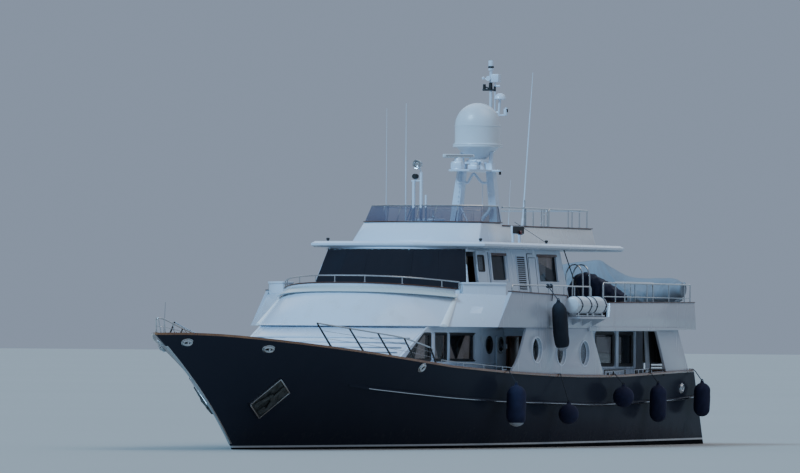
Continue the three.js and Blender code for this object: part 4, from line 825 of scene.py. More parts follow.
hatch_low, hatch_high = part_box("foredeck_hatch")
hatch_half = (hatch_high.y - hatch_low.y) / 2 - 0.02
hatch_x = (hatch_low.x + hatch_high.x) / 2
coaming = bmesh.new()
coaming_top = hatch_low.z - 0.008
box(
    coaming, (hatch_x - hatch_half, -hatch_half, 1.6), (hatch_x + hatch_half, hatch_half, coaming_top),
    0.012,
)
piece("hatch_coaming", coaming, white, slot="white_paint")
lid = bmesh.new()
box(lid, hatch_low, hatch_high, 0.018)
lid_top = [f for f in lid.faces if f.normal.z > 0.99]
bmesh.ops.inset_region(lid, faces=lid_top, thickness=0.09, depth=0)
for face in lid_top:
    face.material_index = 1
bmesh.ops.inset_region(lid, faces=lid_top, thickness=0.008, depth=-0.012)
for s in (-1, 1):
    hinge = Vector((hatch_high.x - 0.02, s * 0.3, hatch_low.z + 0.03))
    drum(lid, hinge - Vector((0, 0.06, 0)), hinge + Vector((0, 0.06, 0)), 0.022, sides=12, finish=2)
glass = Paint("tinted_glass", (0.010, 0.013, 0.018), 0.04, Alpha=0.72, Specular_IOR_Level=0.5)
glass.rough(0.03 + glass.noise(3, 3).ramp(0.4, 0.8) * 0.05)
piece(
    "hatch_lid", lid, white, glass, steel, body="foredeck_hatch", slot="white_paint",
    replaces=("foredeck_hatch",),
)


# Deckhouse front: welded plating that slopes up to the bridge, with four pressed ribs across its foot.
# It stands on the deck, painted white like the sides that it is welded to.
def sweep(bm, path, up, profile, loop=False, finish=0):
    """A profile of (to the outer side, along up) carried along a path and mitred at its corners."""
    path = [Vector(p) for p in path]
    up = Vector(up).normalized()
    middle = sum(path, Vector()) / len(path)
    rings = []
    for i, point in enumerate(path):
        legs = []
        if loop or i:
            legs.append(point - path[i - 1])
        if loop or i < len(path) - 1:
            legs.append(path[(i + 1) % len(path)] - point)
        asides = [leg.cross(up).normalized() for leg in legs if leg.length > 1e-6]
        aside = sum(asides, Vector()).normalized()
        aside /= max(aside.dot(asides[0]), 0.35)
        rings.append((point, aside))
    if loop and sum(aside.dot(point - middle) for point, aside in rings) < 0:
        rings = [(point, -aside) for point, aside in rings]
    rings = [[point + aside * a + up * b for a, b in profile] for point, aside in rings]
    skin(bm, rings + rings[:1] if loop else rings, finish=finish)


def bulge(y, half, amount, power):
    return amount * (1 - abs(y / half) ** power)


HOUSE_HALF = 2.5
HOUSE_SLOPE = (5.35 - 3.15) / (3.33 - 2.37)
refined("house_front", white, edge=0.03)
ribs = bmesh.new()
for z in (3.03, 2.9, 2.77, 2.64, 2.51):
    path = [
        (3.15 + (3.33 - z) * HOUSE_SLOPE + bulge(y, 2.419, 1.3, 2.6), y, z) for y in spaced(-2.3, 2.3, 30)
    ]
    sweep(
        ribs, path, (0, 0, 1),
        [(-0.03, -0.012), (0.045, -0.02), (0.05, -0.005), (0.02, 0.022), (-0.06, 0.03)],
    )
    # Under each rib lies a thin dark strip: a painted shadow of the rib on the plating.
    sweep(ribs, path, (0, 0, 1), [(0.0, -0.045), (0.058, -0.04), (0.05, -0.02), (0.0, -0.018)], finish=1)
rib_shadow = mottled("rib_painted_shadow", (0.13, 0.17, 0.22), (0.20, 0.25, 0.30), 0.5, grain=(60,))
piece("house_front_ribs", ribs, white, rib_shadow)


# Deckhouse sides: flat plating with rubber bedded windows, a porthole and a hinged door each side.
# The plating is steel under white paint, and the rubber round a pane holds it.
def rounded(corners, radius, steps=4):
    """A closed outline with its corners rounded."""
    corners = [Vector(c) for c in corners]
    found = []
    for i, corner in enumerate(corners):
        back = (corners[i - 1] - corner).normalized() * radius
        fore = (corners[(i + 1) % len(corners)] - corner).normalized() * radius
        found += [corner + back * (1 - k / steps) ** 2 + fore * (k / steps) ** 2 for k in range(steps + 1)]
    return found


def upright(a, b, low, high, x=None, y=None):
    """The corners of an upright oblong from a to b and low to high, in the plane at x or at y."""
    return [
        (a if x is None else x, a if y is None else y, low)
        for a, low in ((a, low), (b, low), (b, high), (a, high))
    ]


def bar(half, low, high):
    """The profile of a flat bar, half a width to each side, from low to high."""
    return [(-half, low), (-half, high), (half, high), (half, low)]


def plate(bm, outline, thick, finish=0):
    """An outline made solid along thick."""
    made = bmesh.ops.create_circle(bm, cap_ends=True, segments=len(outline), radius=1)["verts"]
    for vert, spot in zip(made, outline):
        vert.co = spot
    grown = bmesh.ops.extrude_face_region(bm, geom=list(made[0].link_faces), use_keep_orig=True)["geom"]
    far = [v for v in grown if isinstance(v, bmesh.types.BMVert)]
    bmesh.ops.translate(bm, verts=far, vec=thick)
    coat(made + far, finish)


def window(bm, outline, out, sunk=0.05, rim=0.03, proud=0.014):
    """A pane set in a wall's opening, with a frame round it that laps the wall."""
    out = Vector(out).normalized()
    outline = [Vector(p) for p in outline]
    plate(bm, [p - out * sunk for p in outline], out * -0.008, 0)
    lap = [
        (-0.028, -sunk - 0.02), (-0.028, -0.02), (0.004, proud), (rim, proud), (rim + 0.004, -0.004),
        (0.003, -sunk - 0.02),
    ]
    sweep(bm, outline, out, lap, loop=True, finish=1)


def ring_at(middle, radius, out, steps=28):
    """A round outline facing out."""
    out = Vector(out).normalized()
    along = out.cross(Vector((0, 0, 1))).normalized()
    return oval(Vector(middle), along * radius, Vector((0, 0, 1)) * radius, steps)[:-1]


dark_glass = Paint("dark_glass", (0.010, 0.013, 0.016), 0.05, Alpha=0.42)
dark_glass.rough(0.04 + dark_glass.noise(2.5, 3).ramp(0.4, 0.8) * 0.06)
rubber = mottled("window_rubber", (0.02, 0.02, 0.022), (0.035, 0.035, 0.037), 0.55, (8, 3), grain=(80,))
varnish = Paint("varnished_panelling", (0.16, 0.062, 0.028), 0.3, Coat_Weight=0.5, Coat_Roughness=0.12)
figure = varnish.noise(4, 7, (9, 9, 0.5))
varnish.coloured(figure.ramp(0.35, 0.7), (0.085, 0.03, 0.014))
varnish.rough(0.26 + figure * 0.2).bumped(figure, 0.0008)
house_windows = [
    [(2.96, 2.43), (4.70, 2.43), (3.40, 3.12), (2.96, 3.12)],
    [(1.80, 2.43), (2.67, 2.43), (2.67, 3.12), (1.80, 3.12)],
    [(-0.25, 2.43), (1.63, 2.43), (1.63, 3.12), (-0.25, 3.12)],
]
refined_pair("house_side", white)
panes = bmesh.new()
for outline in house_windows:
    spots = rounded([(x, HOUSE_HALF, z) for x, z in outline], 0.05)
    window(panes, spots, (0, 1, 0), sunk=0.035, rim=0.05)
window(panes, ring_at((-1.30, HOUSE_HALF, 2.84), 0.212, (0, 1, 0)), (0, 1, 0), rim=0.04)
piece("house_windows", panes, dark_glass, rubber, slot="tinted", pair=True)
mouldings = bmesh.new()
for x, half in ((2.815, 0.115), (1.715, 0.08), (-0.22, 0.035)):
    box(mouldings, (x - half, HOUSE_HALF - 0.03, 2.41), (x + half, HOUSE_HALF + 0.035, 3.15), 0.01)
box(mouldings, (-2.35, HOUSE_HALF - 0.01, 2.30), (5.15, HOUSE_HALF + 0.022, 2.33), 0.008)
piece("house_mouldings", mouldings, white, pair=True)

# Curtains of the lower saloon: white cotton, gathered on a track and tied back at each window's edge.
# Each hangs by hooks along its heading.
# The cotton glows faintly: painted light standing in for the daylight that falls on it indoors.
glowing_curtain_cloth = Paint(
    "curtain_cotton_painted_glow", (0.74, 0.72, 0.76), 0.9, Emission_Strength=0.10, Emission_Color=(0.85, 0.82, 0.9, 1)
)
weave = glowing_curtain_cloth.noise(220, 2, (1, 1, 0.4))
glowing_curtain_cloth.coloured(glowing_curtain_cloth.noise(3, 3).ramp(0.4, 0.7), (0.52, 0.50, 0.45)).bumped(weave, 0.0006)
CURTAIN_FOLDS = 7


def thickened(bm, thickness):
    """The area of a cloth that has no thickness yet, and the cloth with it."""
    area = sum(face.calc_area() for face in bm.faces)
    bmesh.ops.solidify(bm, geom=bm.faces[:], thickness=thickness)
    return area, bm


def curtain(name, wall, x_tied, x_far, y, low, high, top=0.15, rise=0.0):
    """Cloth hung from high, held back to x_tied along its head by top, its foot raised by rise at x_far."""
    bm = bmesh.new()
    columns, rows = 60, 14
    made = bmesh.ops.create_grid(bm, x_segments=columns, y_segments=rows, size=0.5)["verts"]
    for vert in made:
        across, down = vert.co.x + 0.5, 0.5 - vert.co.y
        reach = (x_far - x_tied) * between(top, 1, down**0.9)
        wave = math.sin(across * math.tau * CURTAIN_FOLDS)
        z = between(high, low + rise * across, down)
        vert.co = Vector((x_tied + reach * across, y + wave * between(0.03, 0.022, down), z))
    area, bm = thickened(bm, 0.003)
    made = piece(name, bm, glowing_curtain_cloth, sharp=75)
    area / (high - low) * 1.02


SIDES = ((1, "port"), (-1, "starboard"))
# Columns: window, x where it is tied back, x of its free edge.
CURTAINS = (("fore", 1.60, 0.72), ("aft", -0.22, 0.66), ("mid", 2.62, 1.95), ("nose", 2.99, 3.7))
for sign, side in SIDES:
    for place, x_tied, x_far in CURTAINS:
        name, wall = f"curtain_{place}_{side}", "house_side_" + side
        curtain(name, wall, x_tied, x_far, sign * (HOUSE_HALF - 0.17), 2.40, 3.16)

# Side doors: flush doors on the deckhouse's outer bulkheads, each with a round light and a lever handle.
# The leaf is steel, painted like the house, and hangs on hinges along one edge.
for sign, side in SIDES:
    refined("side_door_" + side, white, edge=0.01, body="side_door_" + side)
    fittings = bmesh.new()
    for face_y, facing in ((2.583, 1), (2.537, -1)):
        rim = ring_at((-1.93, face_y, 2.83), 0.205, (0, facing, 0))
        lap = [(-0.03, -0.02), (-0.03, 0.012), (0.035, 0.012), (0.035, 0)]
        sweep(fittings, rim, (0, facing, 0), lap, loop=True, finish=1)
        grip_y = face_y + facing * 0.05
        drum(fittings, (-1.74, face_y, 2.2), (-1.74, grip_y, 2.2), 0.022, finish=1)
        lever = [(-1.74, grip_y, 2.2), (-1.8, face_y + facing * 0.055, 2.2), (-1.88, grip_y, 2.19)]
        tube(fittings, lever, 0.012, 8, 1)
    plate(fittings, ring_at((-1.93, 2.556, 2.83), 0.204, (0, 1, 0)), Vector((0, 0.008, 0)))
    for z in (1.6, 2.2, 2.8):
        drum(fittings, (-2.366, 2.592, z - 0.06), (-2.366, 2.592, z + 0.06), 0.014, finish=1)
    bmesh.ops.scale(fittings, vec=(1, sign, 1), verts=fittings.verts)
    piece("side_door_fittings_" + side, fittings, dark_glass, steel, body="side_door_" + side)
casings = bmesh.new()
for face_x, way in ((-2.38, 1), (-2.45, -1)):
    corners = rounded(upright(2.605, 3.275, 1.31, 3.065, x=face_x), 0.03)
    sweep(
        casings, corners, (way, 0, 0), [(0.0, -0.034), (0.0, 0.012), (0.03, 0.012), (0.03, -0.001)],
        loop=True,
    )
box(casings, (-3.1, 2.62, 1.3), (-2.47, 2.66, 3.2), 0.006)
piece("side_door_casings", casings, varnish, slot="teak", pair=True)

# Lobby and saloon linings: varnished panels, a plain headlining and a carpet, seen through the openings.
# The panels are veneered board screwed to battens, and the seats are built in.
panels = bmesh.new()
box(panels, (-6.88, -2.4, 1.3), (-6.8, 2.4, 3.3), 0.01)
box(panels, (-2.6, -2.5, 1.3), (-2.52, 2.5, 3.3), 0.01)
for i in range(6):
    y = -2.0 + i * 0.8
    box(panels, (-2.53, y - 0.34, 1.5), (-2.505, y + 0.34, 3.1), 0.01)
    box(panels, (-6.81, y - 0.34, 1.5), (-6.785, y + 0.34, 3.1), 0.01)
piece("lobby_panelling", panels, varnish)
seats = bmesh.new()
sofa_cloth = mottled("saloon_upholstery", (0.30, 0.27, 0.23), (0.24, 0.21, 0.18), 0.9, (5, 4))
for low, high in (
    ((-10.9, -2.45, 1.2), (-8.3, -1.7, 1.62)), ((-10.9, -2.5, 1.62), (-8.3, -2.25, 2.1)),
    ((-4.8, -0.9, 1.2), (-3.6, 0.9, 1.65)),
):
    box(seats, low, high, 0.08)
piece("saloon_seats", seats, sofa_cloth)
cabinets = bmesh.new()
box(cabinets, (-10.9, 1.6, 1.2), (-8.2, 2.4, 2.1), 0.015)
box(cabinets, (-10.95, 1.55, 2.1), (-8.15, 2.45, 2.14), 0.008)
box(cabinets, (1.2, -1.2, 1.25), (2.6, 1.2, 1.95), 0.03)
piece("saloon_cabinets", cabinets, varnish)

# Topsides above the capping: full beam walls with three deep round lights and the open bay aft.
# They are steel plate, welded to the bulwark below and painted white, drawn as a greyer copy of the house's
# white: painted shade on walls turned from the light.
shaded_band_white = enamel("band_enamel_painted_shade", (0.56, 0.585, 0.64), (0.49, 0.50, 0.52), (0.60, 0.62, 0.68))
# Forward of about x -3 the band darkens further: more painted shade.
shaded_band_white.coloured(shaded_band_white.x.ramp(-7, -3), (0.455, 0.485, 0.55))
refined_pair("topside_wall", shaded_band_white, edge=0.016)
lights = bmesh.new()
for x, z in ((-2.01, 2.71), (-3.85, 2.65), (-5.67, 2.62)):
    wall_y = smooth(RAIL, x) - 0.015 - 0.012
    circle = ring_at((x, wall_y, z), 0.348, (0, 1, 0), 36)
    plate(lights, [p - Vector((0, 0.085, 0)) for p in circle], Vector((0, -0.01, 0)))
    lap = [
        (-0.02, -0.11), (-0.02, -0.07), (-0.002, -0.06), (-0.002, 0.016), (0.03, 0.016), (0.034, -0.01),
        (0.003, -0.11),
    ]
    sweep(lights, circle, (0, 1, 0), lap, loop=True, finish=1)
piece("round_lights", lights, dark_glass, white, slot="tinted", pair=True)

# Saloon: walls inboard of the aft walkway with paired windows, and a glazed sliding door to the cockpit.
# The walls are plate under white paint, and the panes sit in black rubber.
refined("saloon_walls", white, edge=0.014)
saloon = bmesh.new()
for fore, aft in ((-9.05, -10.4), (-10.76, -11.9)):
    window(saloon, rounded(upright(fore, aft, 2.32, 3.18, y=2.62), 0.05), (0, 1, 0), rim=0.07)
window(saloon, rounded(upright(1.15, 2.25, 2.0, 3.12, x=-12.1), 0.05), (-1, 0, 0))
piece("saloon_windows", saloon, dark_glass, rubber, slot="tinted", pair=True)
posts = bmesh.new()
for x, half in ((-10.58, 0.1), (-11.98, 0.05)):
    box(posts, (x - half, 2.6, 2.2), (x + half, 2.68, 3.26), 0.012)
box(posts, (-11.98, 2.615, 2.19), (-8.98, 2.66, 2.24), 0.012)
piece("saloon_window_post", posts, white, pair=True)
# Weather screen: a brown canvas dodger hung across the cockpit's side, between a jamb and a raked post.
# The cloth is sewn over a steel frame that is bolted to both.
screen_mesh = bmesh.new()
SCREEN_HIGH, SCREEN_TALL = 3.27, 0.91
bmesh.ops.create_grid(screen_mesh, x_segments=60, y_segments=8, size=0.5)
for vert in screen_mesh.verts:
    down, x = 0.5 - vert.co.y, between(-13.75, -12.05, vert.co.x + 0.5)
    ruffle = 0.022 * math.sin(x * 23) + 0.01 * math.sin(x * 57 + down)
    vert.co = Vector((x, 2.9 + ruffle, SCREEN_HIGH - SCREEN_TALL * down))
area, screen_mesh = thickened(screen_mesh, 0.004)
dodger_cloth = mottled(
    "dodger_canvas", (0.035, 0.032, 0.030), (0.06, 0.056, 0.05), 0.85, (2, 4), grain=(300,), depth=0.0008,
)
for sign, side in SIDES:
    hung = screen_mesh.copy()
    bmesh.ops.scale(hung, vec=(1, sign, 1), verts=hung.verts)
    dodger = piece("cockpit_dodger_" + side, hung, dodger_cloth, sharp=75)
    area / SCREEN_TALL
slats = bmesh.new()
for i in range(5):
    z = 1.98 + i * 0.085
    box(slats, (-13.85, 2.86, z), (-12.5, 2.885, z + 0.052), 0.006)
raked_post = ((-12.02, 2.92, 3.3), (-12.28, 2.92, 3.3), (-12.5, 2.92, 1.9), (-12.2, 2.92, 1.9))
plate(slats, raked_post, Vector((0, 0.03, 0)))
for x in (-12.62, -13.75):
    box(slats, (x - 0.03, 2.83, 1.2), (x + 0.03, 2.86, 3.3), 0.008)
box(slats, (-14.73, 1.56, 2.0), (-14.67, 1.88, 3.34), 0.012)
piece("cockpit_screen_frame", slats, shaded_band_white, pair=True)
bay = bmesh.new()
grab = ((-7.65, 2.03), (-7.67, 2.12), (-7.76, 2.15), (-9.12, 2.15), (-9.21, 2.12), (-9.24, 2.03))
tube(bay, curved([(x, 3.44, z) for x, z in grab], 4), 0.022, 10)
tube(bay, [(-10.07, 3.42, 2.17), (-12.41, 3.4, 2.17)], 0.012, 8)
for x, high in ((-8.4, 2.15), (-10.1, 2.17), (-11.29, 2.43), (-12.38, 2.17)):
    drum(bay, (x, 3.42, 2.0), (x, 3.42, high), 0.02)
box(bay, (-8.3, 3.38, 2.0), (-7.98, 3.46, 2.075), 0.02)
piece("bay_rails_and_cleats", bay, black, pair=True)

# Eyebrow: a white fascia along the foot of the aft band, which deepens forward over the open bay.
# It is bent plate, welded under the band and painted with it.
brow = bmesh.new()
eyebrow = []
for i in range(13):
    x = between(-5.9, -13.9, i / 12)
    y, low = smooth(RAIL, x) + between(0.02, 0.16, i / 12), between(3.245, 3.315, i / 12)
    profile = ((-0.05, low), (0.012, low), (0.016, low + 0.012), (0.012, 3.37), (-0.05, 3.37))
    eyebrow.append([Vector((x, y + a, z)) for a, z in profile])
skin(brow, eyebrow)
piece("band_eyebrow", brow, shaded_band_white, pair=True)

# Saloon door: one sheet of tinted glass in a frame of polished steel, hung on a track inside the bulkhead.
# A bent bar handle is screwed to the frame on each face.
slider_low, slider_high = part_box("saloon_door")
slider = bmesh.new()
x, y = (slider_low.x + slider_high.x) / 2, slider_high.y - 0.055
outline = rounded(upright(-y, y, slider_low.z + 0.07, slider_high.z - 0.07, x=x), 0.02)
plate(slider, [p - Vector((0.004, 0, 0)) for p in outline], Vector((0.008, 0, 0)))
stile = [(-0.01, -0.02), (-0.01, 0.02), (0.05, 0.022), (0.055, 0), (0.05, -0.022)]
sweep(slider, outline, (-1, 0, 0), stile, loop=True, finish=1)
for facing in (-1, 1):
    handle = ((0.02, 2.0), (0.05, 2.03), (0.05, 2.4), (0.02, 2.43))
    tube(slider, [(x + facing * out, -y - 0.025, z) for out, z in handle], 0.011, 8, 1)
piece(
    "saloon_slider", slider, dark_glass, steel, body="saloon_door", slot="tinted", replaces=("saloon_door",)
)


# Upper deck: a plated deck laid with teak planks, carrying the forward bulwark, the side bands and the boat.
# The planks are glued to the plate, with black caulk between them.
bare_deck = refined("upper_deck", white, deck_teak, edge=0.015, slot="deck_teak")
for face in bare_deck.data.polygons:
    if face.normal.z > 0.85 and face.center.z > 3.5:
        face.material_index = 1
refined("portuguese_bridge", white, edge=0.05)
refined("upper_bulwark", shaded_band_white, edge=0.018)


def capping(name, node, above, paint, lap=0.022, thick=0.03, slot=None, fore=-99, aft=99, lift=0.0):
    """A cap on the level tops of a frame node above a height and between fore and aft, lapping all round."""
    bm = merged(node)
    other = [f for f in bm.faces if f.normal.z < 0.75 or f.calc_center_median().z < above]
    bmesh.ops.delete(bm, geom=other, context="FACES")
    flatten(bm)
    for x, way in ((fore, -1), (aft, 1)):
        cut = bm.verts[:] + bm.edges[:] + bm.faces[:]
        bmesh.ops.bisect_plane(bm, geom=cut, plane_co=(x, 0, 0), plane_no=(way, 0, 0), clear_outer=True)
    bmesh.ops.translate(bm, verts=bm.verts, vec=(0, 0, lift))
    grown = bmesh.ops.extrude_face_region(bm, geom=bm.faces[:], use_keep_orig=True)["geom"]
    bmesh.ops.translate(bm, verts=[v for v in grown if isinstance(v, bmesh.types.BMVert)], vec=(0, 0, thick))
    bmesh.ops.recalc_face_normals(bm, faces=bm.faces)
    bm.normal_update()
    for vert in bm.verts:
        flat = Vector((vert.normal.x, vert.normal.y, 0))
        vert.co += flat.normalized() * lap if flat.length > 0.1 else flat
    ease(bm, corners_of(bm), 0.009)
    piece(name, bm, paint, slot=slot)


mahogany = Paint("oiled_mahogany", (0.115, 0.038, 0.020), 0.34, Coat_Weight=0.35, Coat_Roughness=0.15)
mahogany_grain = mahogany.noise(5, 6, (0.6, 6, 6))
mahogany.coloured(mahogany_grain.ramp(0.35, 0.7), (0.06, 0.02, 0.012)).rough(0.3 + mahogany_grain * 0.2)
mahogany.coloured(mahogany.noise(1, 3).ramp(0.5, 0.8) * 0.4, (0.17, 0.085, 0.05))
mahogany.bumped(mahogany_grain, 0.0008)
capping("bridge_coaming", "portuguese_bridge", 4.1, white, lap=0.004, thick=0.11, fore=1.32)
capping("bridge_cap", "portuguese_bridge", 4.1, mahogany, slot="teak", fore=1.30, lift=0.11)
capping("wing_locker_lids", "portuguese_bridge", 4.5, white, lap=0.03, thick=0.06, aft=1.6)
capping("upper_bulwark_cap", "upper_bulwark", 4.0, mahogany, slot="teak")

# Forward bulwark: a rolled lip under its cap, locker doors inboard, and scuppers through its foot.
# It is welded plate, faired and painted, and the lip is bent over a mould.
BULWARK_PUSH = 1.9
lip = bmesh.new()


def bulwark_top(y, ahead, above):
    """A point ahead of the forward bulwark's inner line at its top, and above it."""
    push = bulge(y, 2.57, BULWARK_PUSH, 2.7)
    return ahead + push, y, between(4.25, 4.40, push / BULWARK_PUSH) + above


top_line = [bulwark_top(y, 1.3, -0.05) for y in spaced(-2.5, 2.5, 40)]
sweep(lip, top_line, (0, 0, 1), [(-0.06, -0.03), (0.012, -0.028), (0.03, 0), (0.024, 0.03), (-0.06, 0.045)])
low_line = [(2.666 + bulge(y, 2.77, BULWARK_PUSH, 2.7), y, 3.345) for y in spaced(-2.7, 2.7, 40)]
sweep(lip, low_line, (0, 0, 1), [(-0.06, -0.012), (0.012, -0.012), (0.018, 0.008), (-0.06, 0.03)])
piece("forward_bulwark_mouldings", lip, white)
cove = bmesh.new()
cove_line = [(x, y, z + 0.05) for x, y, z in top_line]
sweep(cove, cove_line, (0, 0, 1), [(-0.05, 0.06), (0.02, 0.05), (0.245, -0.12), (0.15, -0.14)])
# The cove is a darker, greener copy of the white: painted shade under the cap.
cove_shade_white = enamel("cove_enamel_painted_shade", (0.52, 0.60, 0.62), (0.46, 0.52, 0.53), (0.56, 0.64, 0.66))
piece("forward_bulwark_cove", cove, cove_shade_white)
beads = bmesh.new()
bead_rings = []
for share in spaced(0, 1, 8):
    spot = Vector((2.68, 2.775, 3.36)).lerp(Vector((1.33, 2.58, 4.22)), share)
    wide = between(0.10, 0.05, share)
    profile = ((-1, -0.3), (-0.6, 0.22), (0, 0.42), (0.6, 0.22), (1, -0.3))
    bead_rings.append([spot + Vector((-a * 0.75, a, b)) * wide for a, b in profile])
skin(beads, bead_rings)
# The beads are a brighter white than the house: a painted highlight down the rounded corners.
bead_highlight_white = enamel("bead_enamel_painted_highlight", (0.86, 0.87, 0.88), (0.80, 0.80, 0.80), (0.88, 0.89, 0.90))
piece("forward_bulwark_beads", beads, bead_highlight_white, pair=True)
lockers = bmesh.new()
along, out = Vector((-1.0, 0.86, 0)).normalized(), Vector((0.86, 1.0, 0)).normalized()
for share in (0.26, 0.74):
    middle = Vector((between(1.12, 0.12, share), between(2.70, 3.56, share), 4.35))
    corners = [
        middle - out * 0.335 + along * a * 0.28 + Vector((0, 0, b))
        for a, _, b in upright(-1, 1, -0.11, 0.11, y=0)
    ]
    plate(lockers, rounded(corners, 0.02), -out * 0.012)
    drum(lockers, middle - out * 0.35, middle - out * 0.37, 0.02, finish=1)
piece("wing_locker_doors", lockers, white, steel, pair=True)


# Upper rails: polished tube on stanchions screwed to the caps, its ends turned down, with a wire between.
# Every joint is welded and ground smooth.
def guard_rail(bm, heads, drops, radius=0.019):
    """A top tube through heads, turned down at its ends, and a stanchion under each head that has a drop."""
    heads = [Vector(h) for h in heads]
    path = curved(heads, 4)
    for end, near, drop in ((heads[-1], heads[-2], drops[-1]), (heads[0], heads[1], drops[0])):
        path = path[::-1] if end == heads[0] else path
        if drop:
            bent = end + (end - near).normalized() * 0.05
            path += [bent - Vector((0, 0, 0.05)), bent - Vector((0, 0, drop))]
    tube(bm, path, radius, 10)
    for head, drop in zip(heads, drops):
        if drop:
            foot = head - Vector((0, 0, drop))
            drum(bm, foot, head, radius * 0.75, sides=10)
            drum(bm, foot, foot + Vector((0, 0, 0.015)), radius * 2, sides=14)


bridge_rail = bmesh.new()
POSTS = (-2.6, -2.31, -1.53, -0.9, -0.28, 0.6, 1.53, 2.31, 2.6)
spots = sorted(POSTS + (-2.46, -1.95, -1.2, -0.6, 0.16, 1.06, 1.95, 2.46))
guard_rail(
    bridge_rail, [bulwark_top(y, 1.24, 0.32) for y in spots], [0.185 if y in POSTS else 0 for y in spots]
)
piece("bridge_rail_tube", bridge_rail, steel, slot="steel", replaces=("bridge_rail",))

# Columns: x, half breadth of the upper bulwark's outer face.
BAND = [(1.04, 3.70), (0, 3.70), (-5.0, 3.66), (-10.0, 3.56), (-14.9, 3.43)]
side_rails = bmesh.new()
# Columns: x, how far inside the bulwark, depth down to what its stanchion stands on.
UPPER_SIDE_RAIL = [
    (-0.15, 0.05, 0.16), (-1.5, 0.05, 0.19), (-2.85, 0.05, 0.22), (-4.05, 0.05, 0.24), (-5.1, 0.135, 0.97),
    (-6.35, 0.135, 0.97),
]
heads = [(x, smooth(BAND, x) - inside, 4.5) for x, inside, _ in UPPER_SIDE_RAIL]
guard_rail(side_rails, heads, [drop for *_, drop in UPPER_SIDE_RAIL])
lower_bar = [(-4.2, 3.6, 4.02)] + [(x, smooth(BAND, x) - 0.135, 4.02) for x in (-5.1, -6.35)]
tube(side_rails, lower_bar, 0.011, 8)
piece(
    "upper_side_rails", side_rails, steel, slot="steel",
    replaces=("upper_side_rail_port", "upper_side_rail_starboard"), pair=True,
)

boat_rail = bmesh.new()
port_heads = [Vector((x, smooth(BAND, x) - 0.055, 4.62)) for x in (-7.2, -8.95, -10.8, -12.65, -14.0, -14.5)]
port_heads.append(Vector((-14.78, 3.1, 4.62)))
heads = port_heads + [Vector((-14.8, 2.1 - 0.7 * i, 4.62)) for i in range(7)] + mirrored(port_heads[::-1])
guard_rail(boat_rail, heads, [0.54] * len(heads), radius=0.022)
tube(boat_rail, [h - Vector((0, 0, 0.39)) for h in heads], 0.014, 8)
piece("boat_deck_guard_rail", boat_rail, steel, slot="steel", replaces=("boat_deck_rail",))


# Pilothouse: panels leaning inwards, with bonded windows, louvred vents and a recessed aft door each side.
# The panels are plate under white paint, welded along the corners.
PILOT_LOW = 3.5205
LEAN = 0.22
WALL_OUT = Vector((0, 1, LEAN)).normalized()


def pilot_y(z):
    return 2.52 - LEAN * (z - PILOT_LOW)


def screen_x(share, z):
    """The windscreen's outer face at a height and a share of its half width."""
    return 0.285 - 0.45 * (z - PILOT_LOW) + bulge(share, 1, 0.42, 2.2)


def on_side(x, z, out=0.0):
    """A point on the port wall of the pilothouse, or out from it."""
    return Vector((x, pilot_y(z), z)) + WALL_OUT * out


def raked(fore, aft, low, high, out=0.0):
    """An outline on the port wall whose upright edges lean aft."""
    back = 0.25 * (high - low)
    return [
        on_side(x, z, out) for x, z in ((fore, low), (aft, low), (aft - back, high), (fore - back, high))
    ]


refined_pair("pilothouse_side", white)
refined("pilothouse_front", white, edge=0.015)
refined("pilothouse_bulkhead", white, edge=0.015)
pilot_glass = bmesh.new()
for fore, aft, low, high in ((-2.05, -3.20, 4.63, 5.37), (-5.58, -7.04, 4.62, 5.37)):
    window(pilot_glass, rounded(raked(fore, aft, low, high), 0.06), WALL_OUT)
window(pilot_glass, rounded(upright(0.5, 1.7, 4.5, 5.3, x=-7.57), 0.06), (-1, 0, 0), sunk=0.04)
piece("pilothouse_windows", pilot_glass, dark_glass, white, slot="tinted", pair=True)
front_glass = bmesh.new()
for low_y, high_y in ((-1.85, -0.7), (-0.6, 0.6), (0.7, 1.85)):
    rows = []
    for z in (4.57, 5.35):
        across = spaced(low_y + 0.01, high_y - 0.01, 8)
        rows.append([Vector((screen_x(y / (pilot_y(z) - 0.03), z) - 0.045, y, z)) for y in across])
    rows += [[p - Vector((0.012, 0, 0)) for p in row] for row in rows[::-1]]
    skin(front_glass, [[row[i] for row in rows] for i in range(9)])
piece("windscreen", front_glass, dark_glass, slot="tinted")

trim = bmesh.new()
for x in (-1.47, -1.66):
    sweep(trim, [on_side(x, 3.6), on_side(x - 0.42, 5.42)], WALL_OUT, bar(0.012, -0.01, 0.006))
for outline in (raked(-4.64, -4.70, 4.2, 5.40), raked(-4.95, -5.4, 5.40, 5.42)):
    plate(trim, [p + WALL_OUT * 0.004 for p in outline], -WALL_OUT * 0.03)
sweep(trim, raked(-4.78, -5.3, 4.24, 5.3), WALL_OUT, bar(0.008, -0.01, 0.005), loop=True)
piece("pilothouse_seams", trim, rubber, pair=True)
jambs = bmesh.new()
for fore, aft, low, high in (
    (-3.23, -3.31, 4.62, 5.34), (-6.93, -7.07, 4.66, 5.33), (-1.86, -1.95, 4.2, 5.4)
):
    plate(jambs, raked(fore, aft, low, high, 0.03), -WALL_OUT * 0.05)
piece("pilothouse_jambs", jambs, white, pair=True)
headers = bmesh.new()
for fore, aft in ((-2.0, -3.2), (-5.55, -7.0)):
    plate(headers, raked(fore - 0.16, aft - 0.2, 5.33, 5.40, 0.022), -WALL_OUT * 0.04)
piece("pilothouse_window_headers", headers, mahogany, pair=True)
louvres = bmesh.new()
SLATS, SLAT_PITCH = 16, 0.059
SLAT = [(-0.018, -0.012), (-0.006, -0.012), (0.018, 0.012), (0.018, 0.02), (0.006, 0.02)]
sweep(louvres, raked(-3.90, -4.52, 4.36, 5.34), WALL_OUT, bar(0.02, -0.02, 0.016), loop=True)
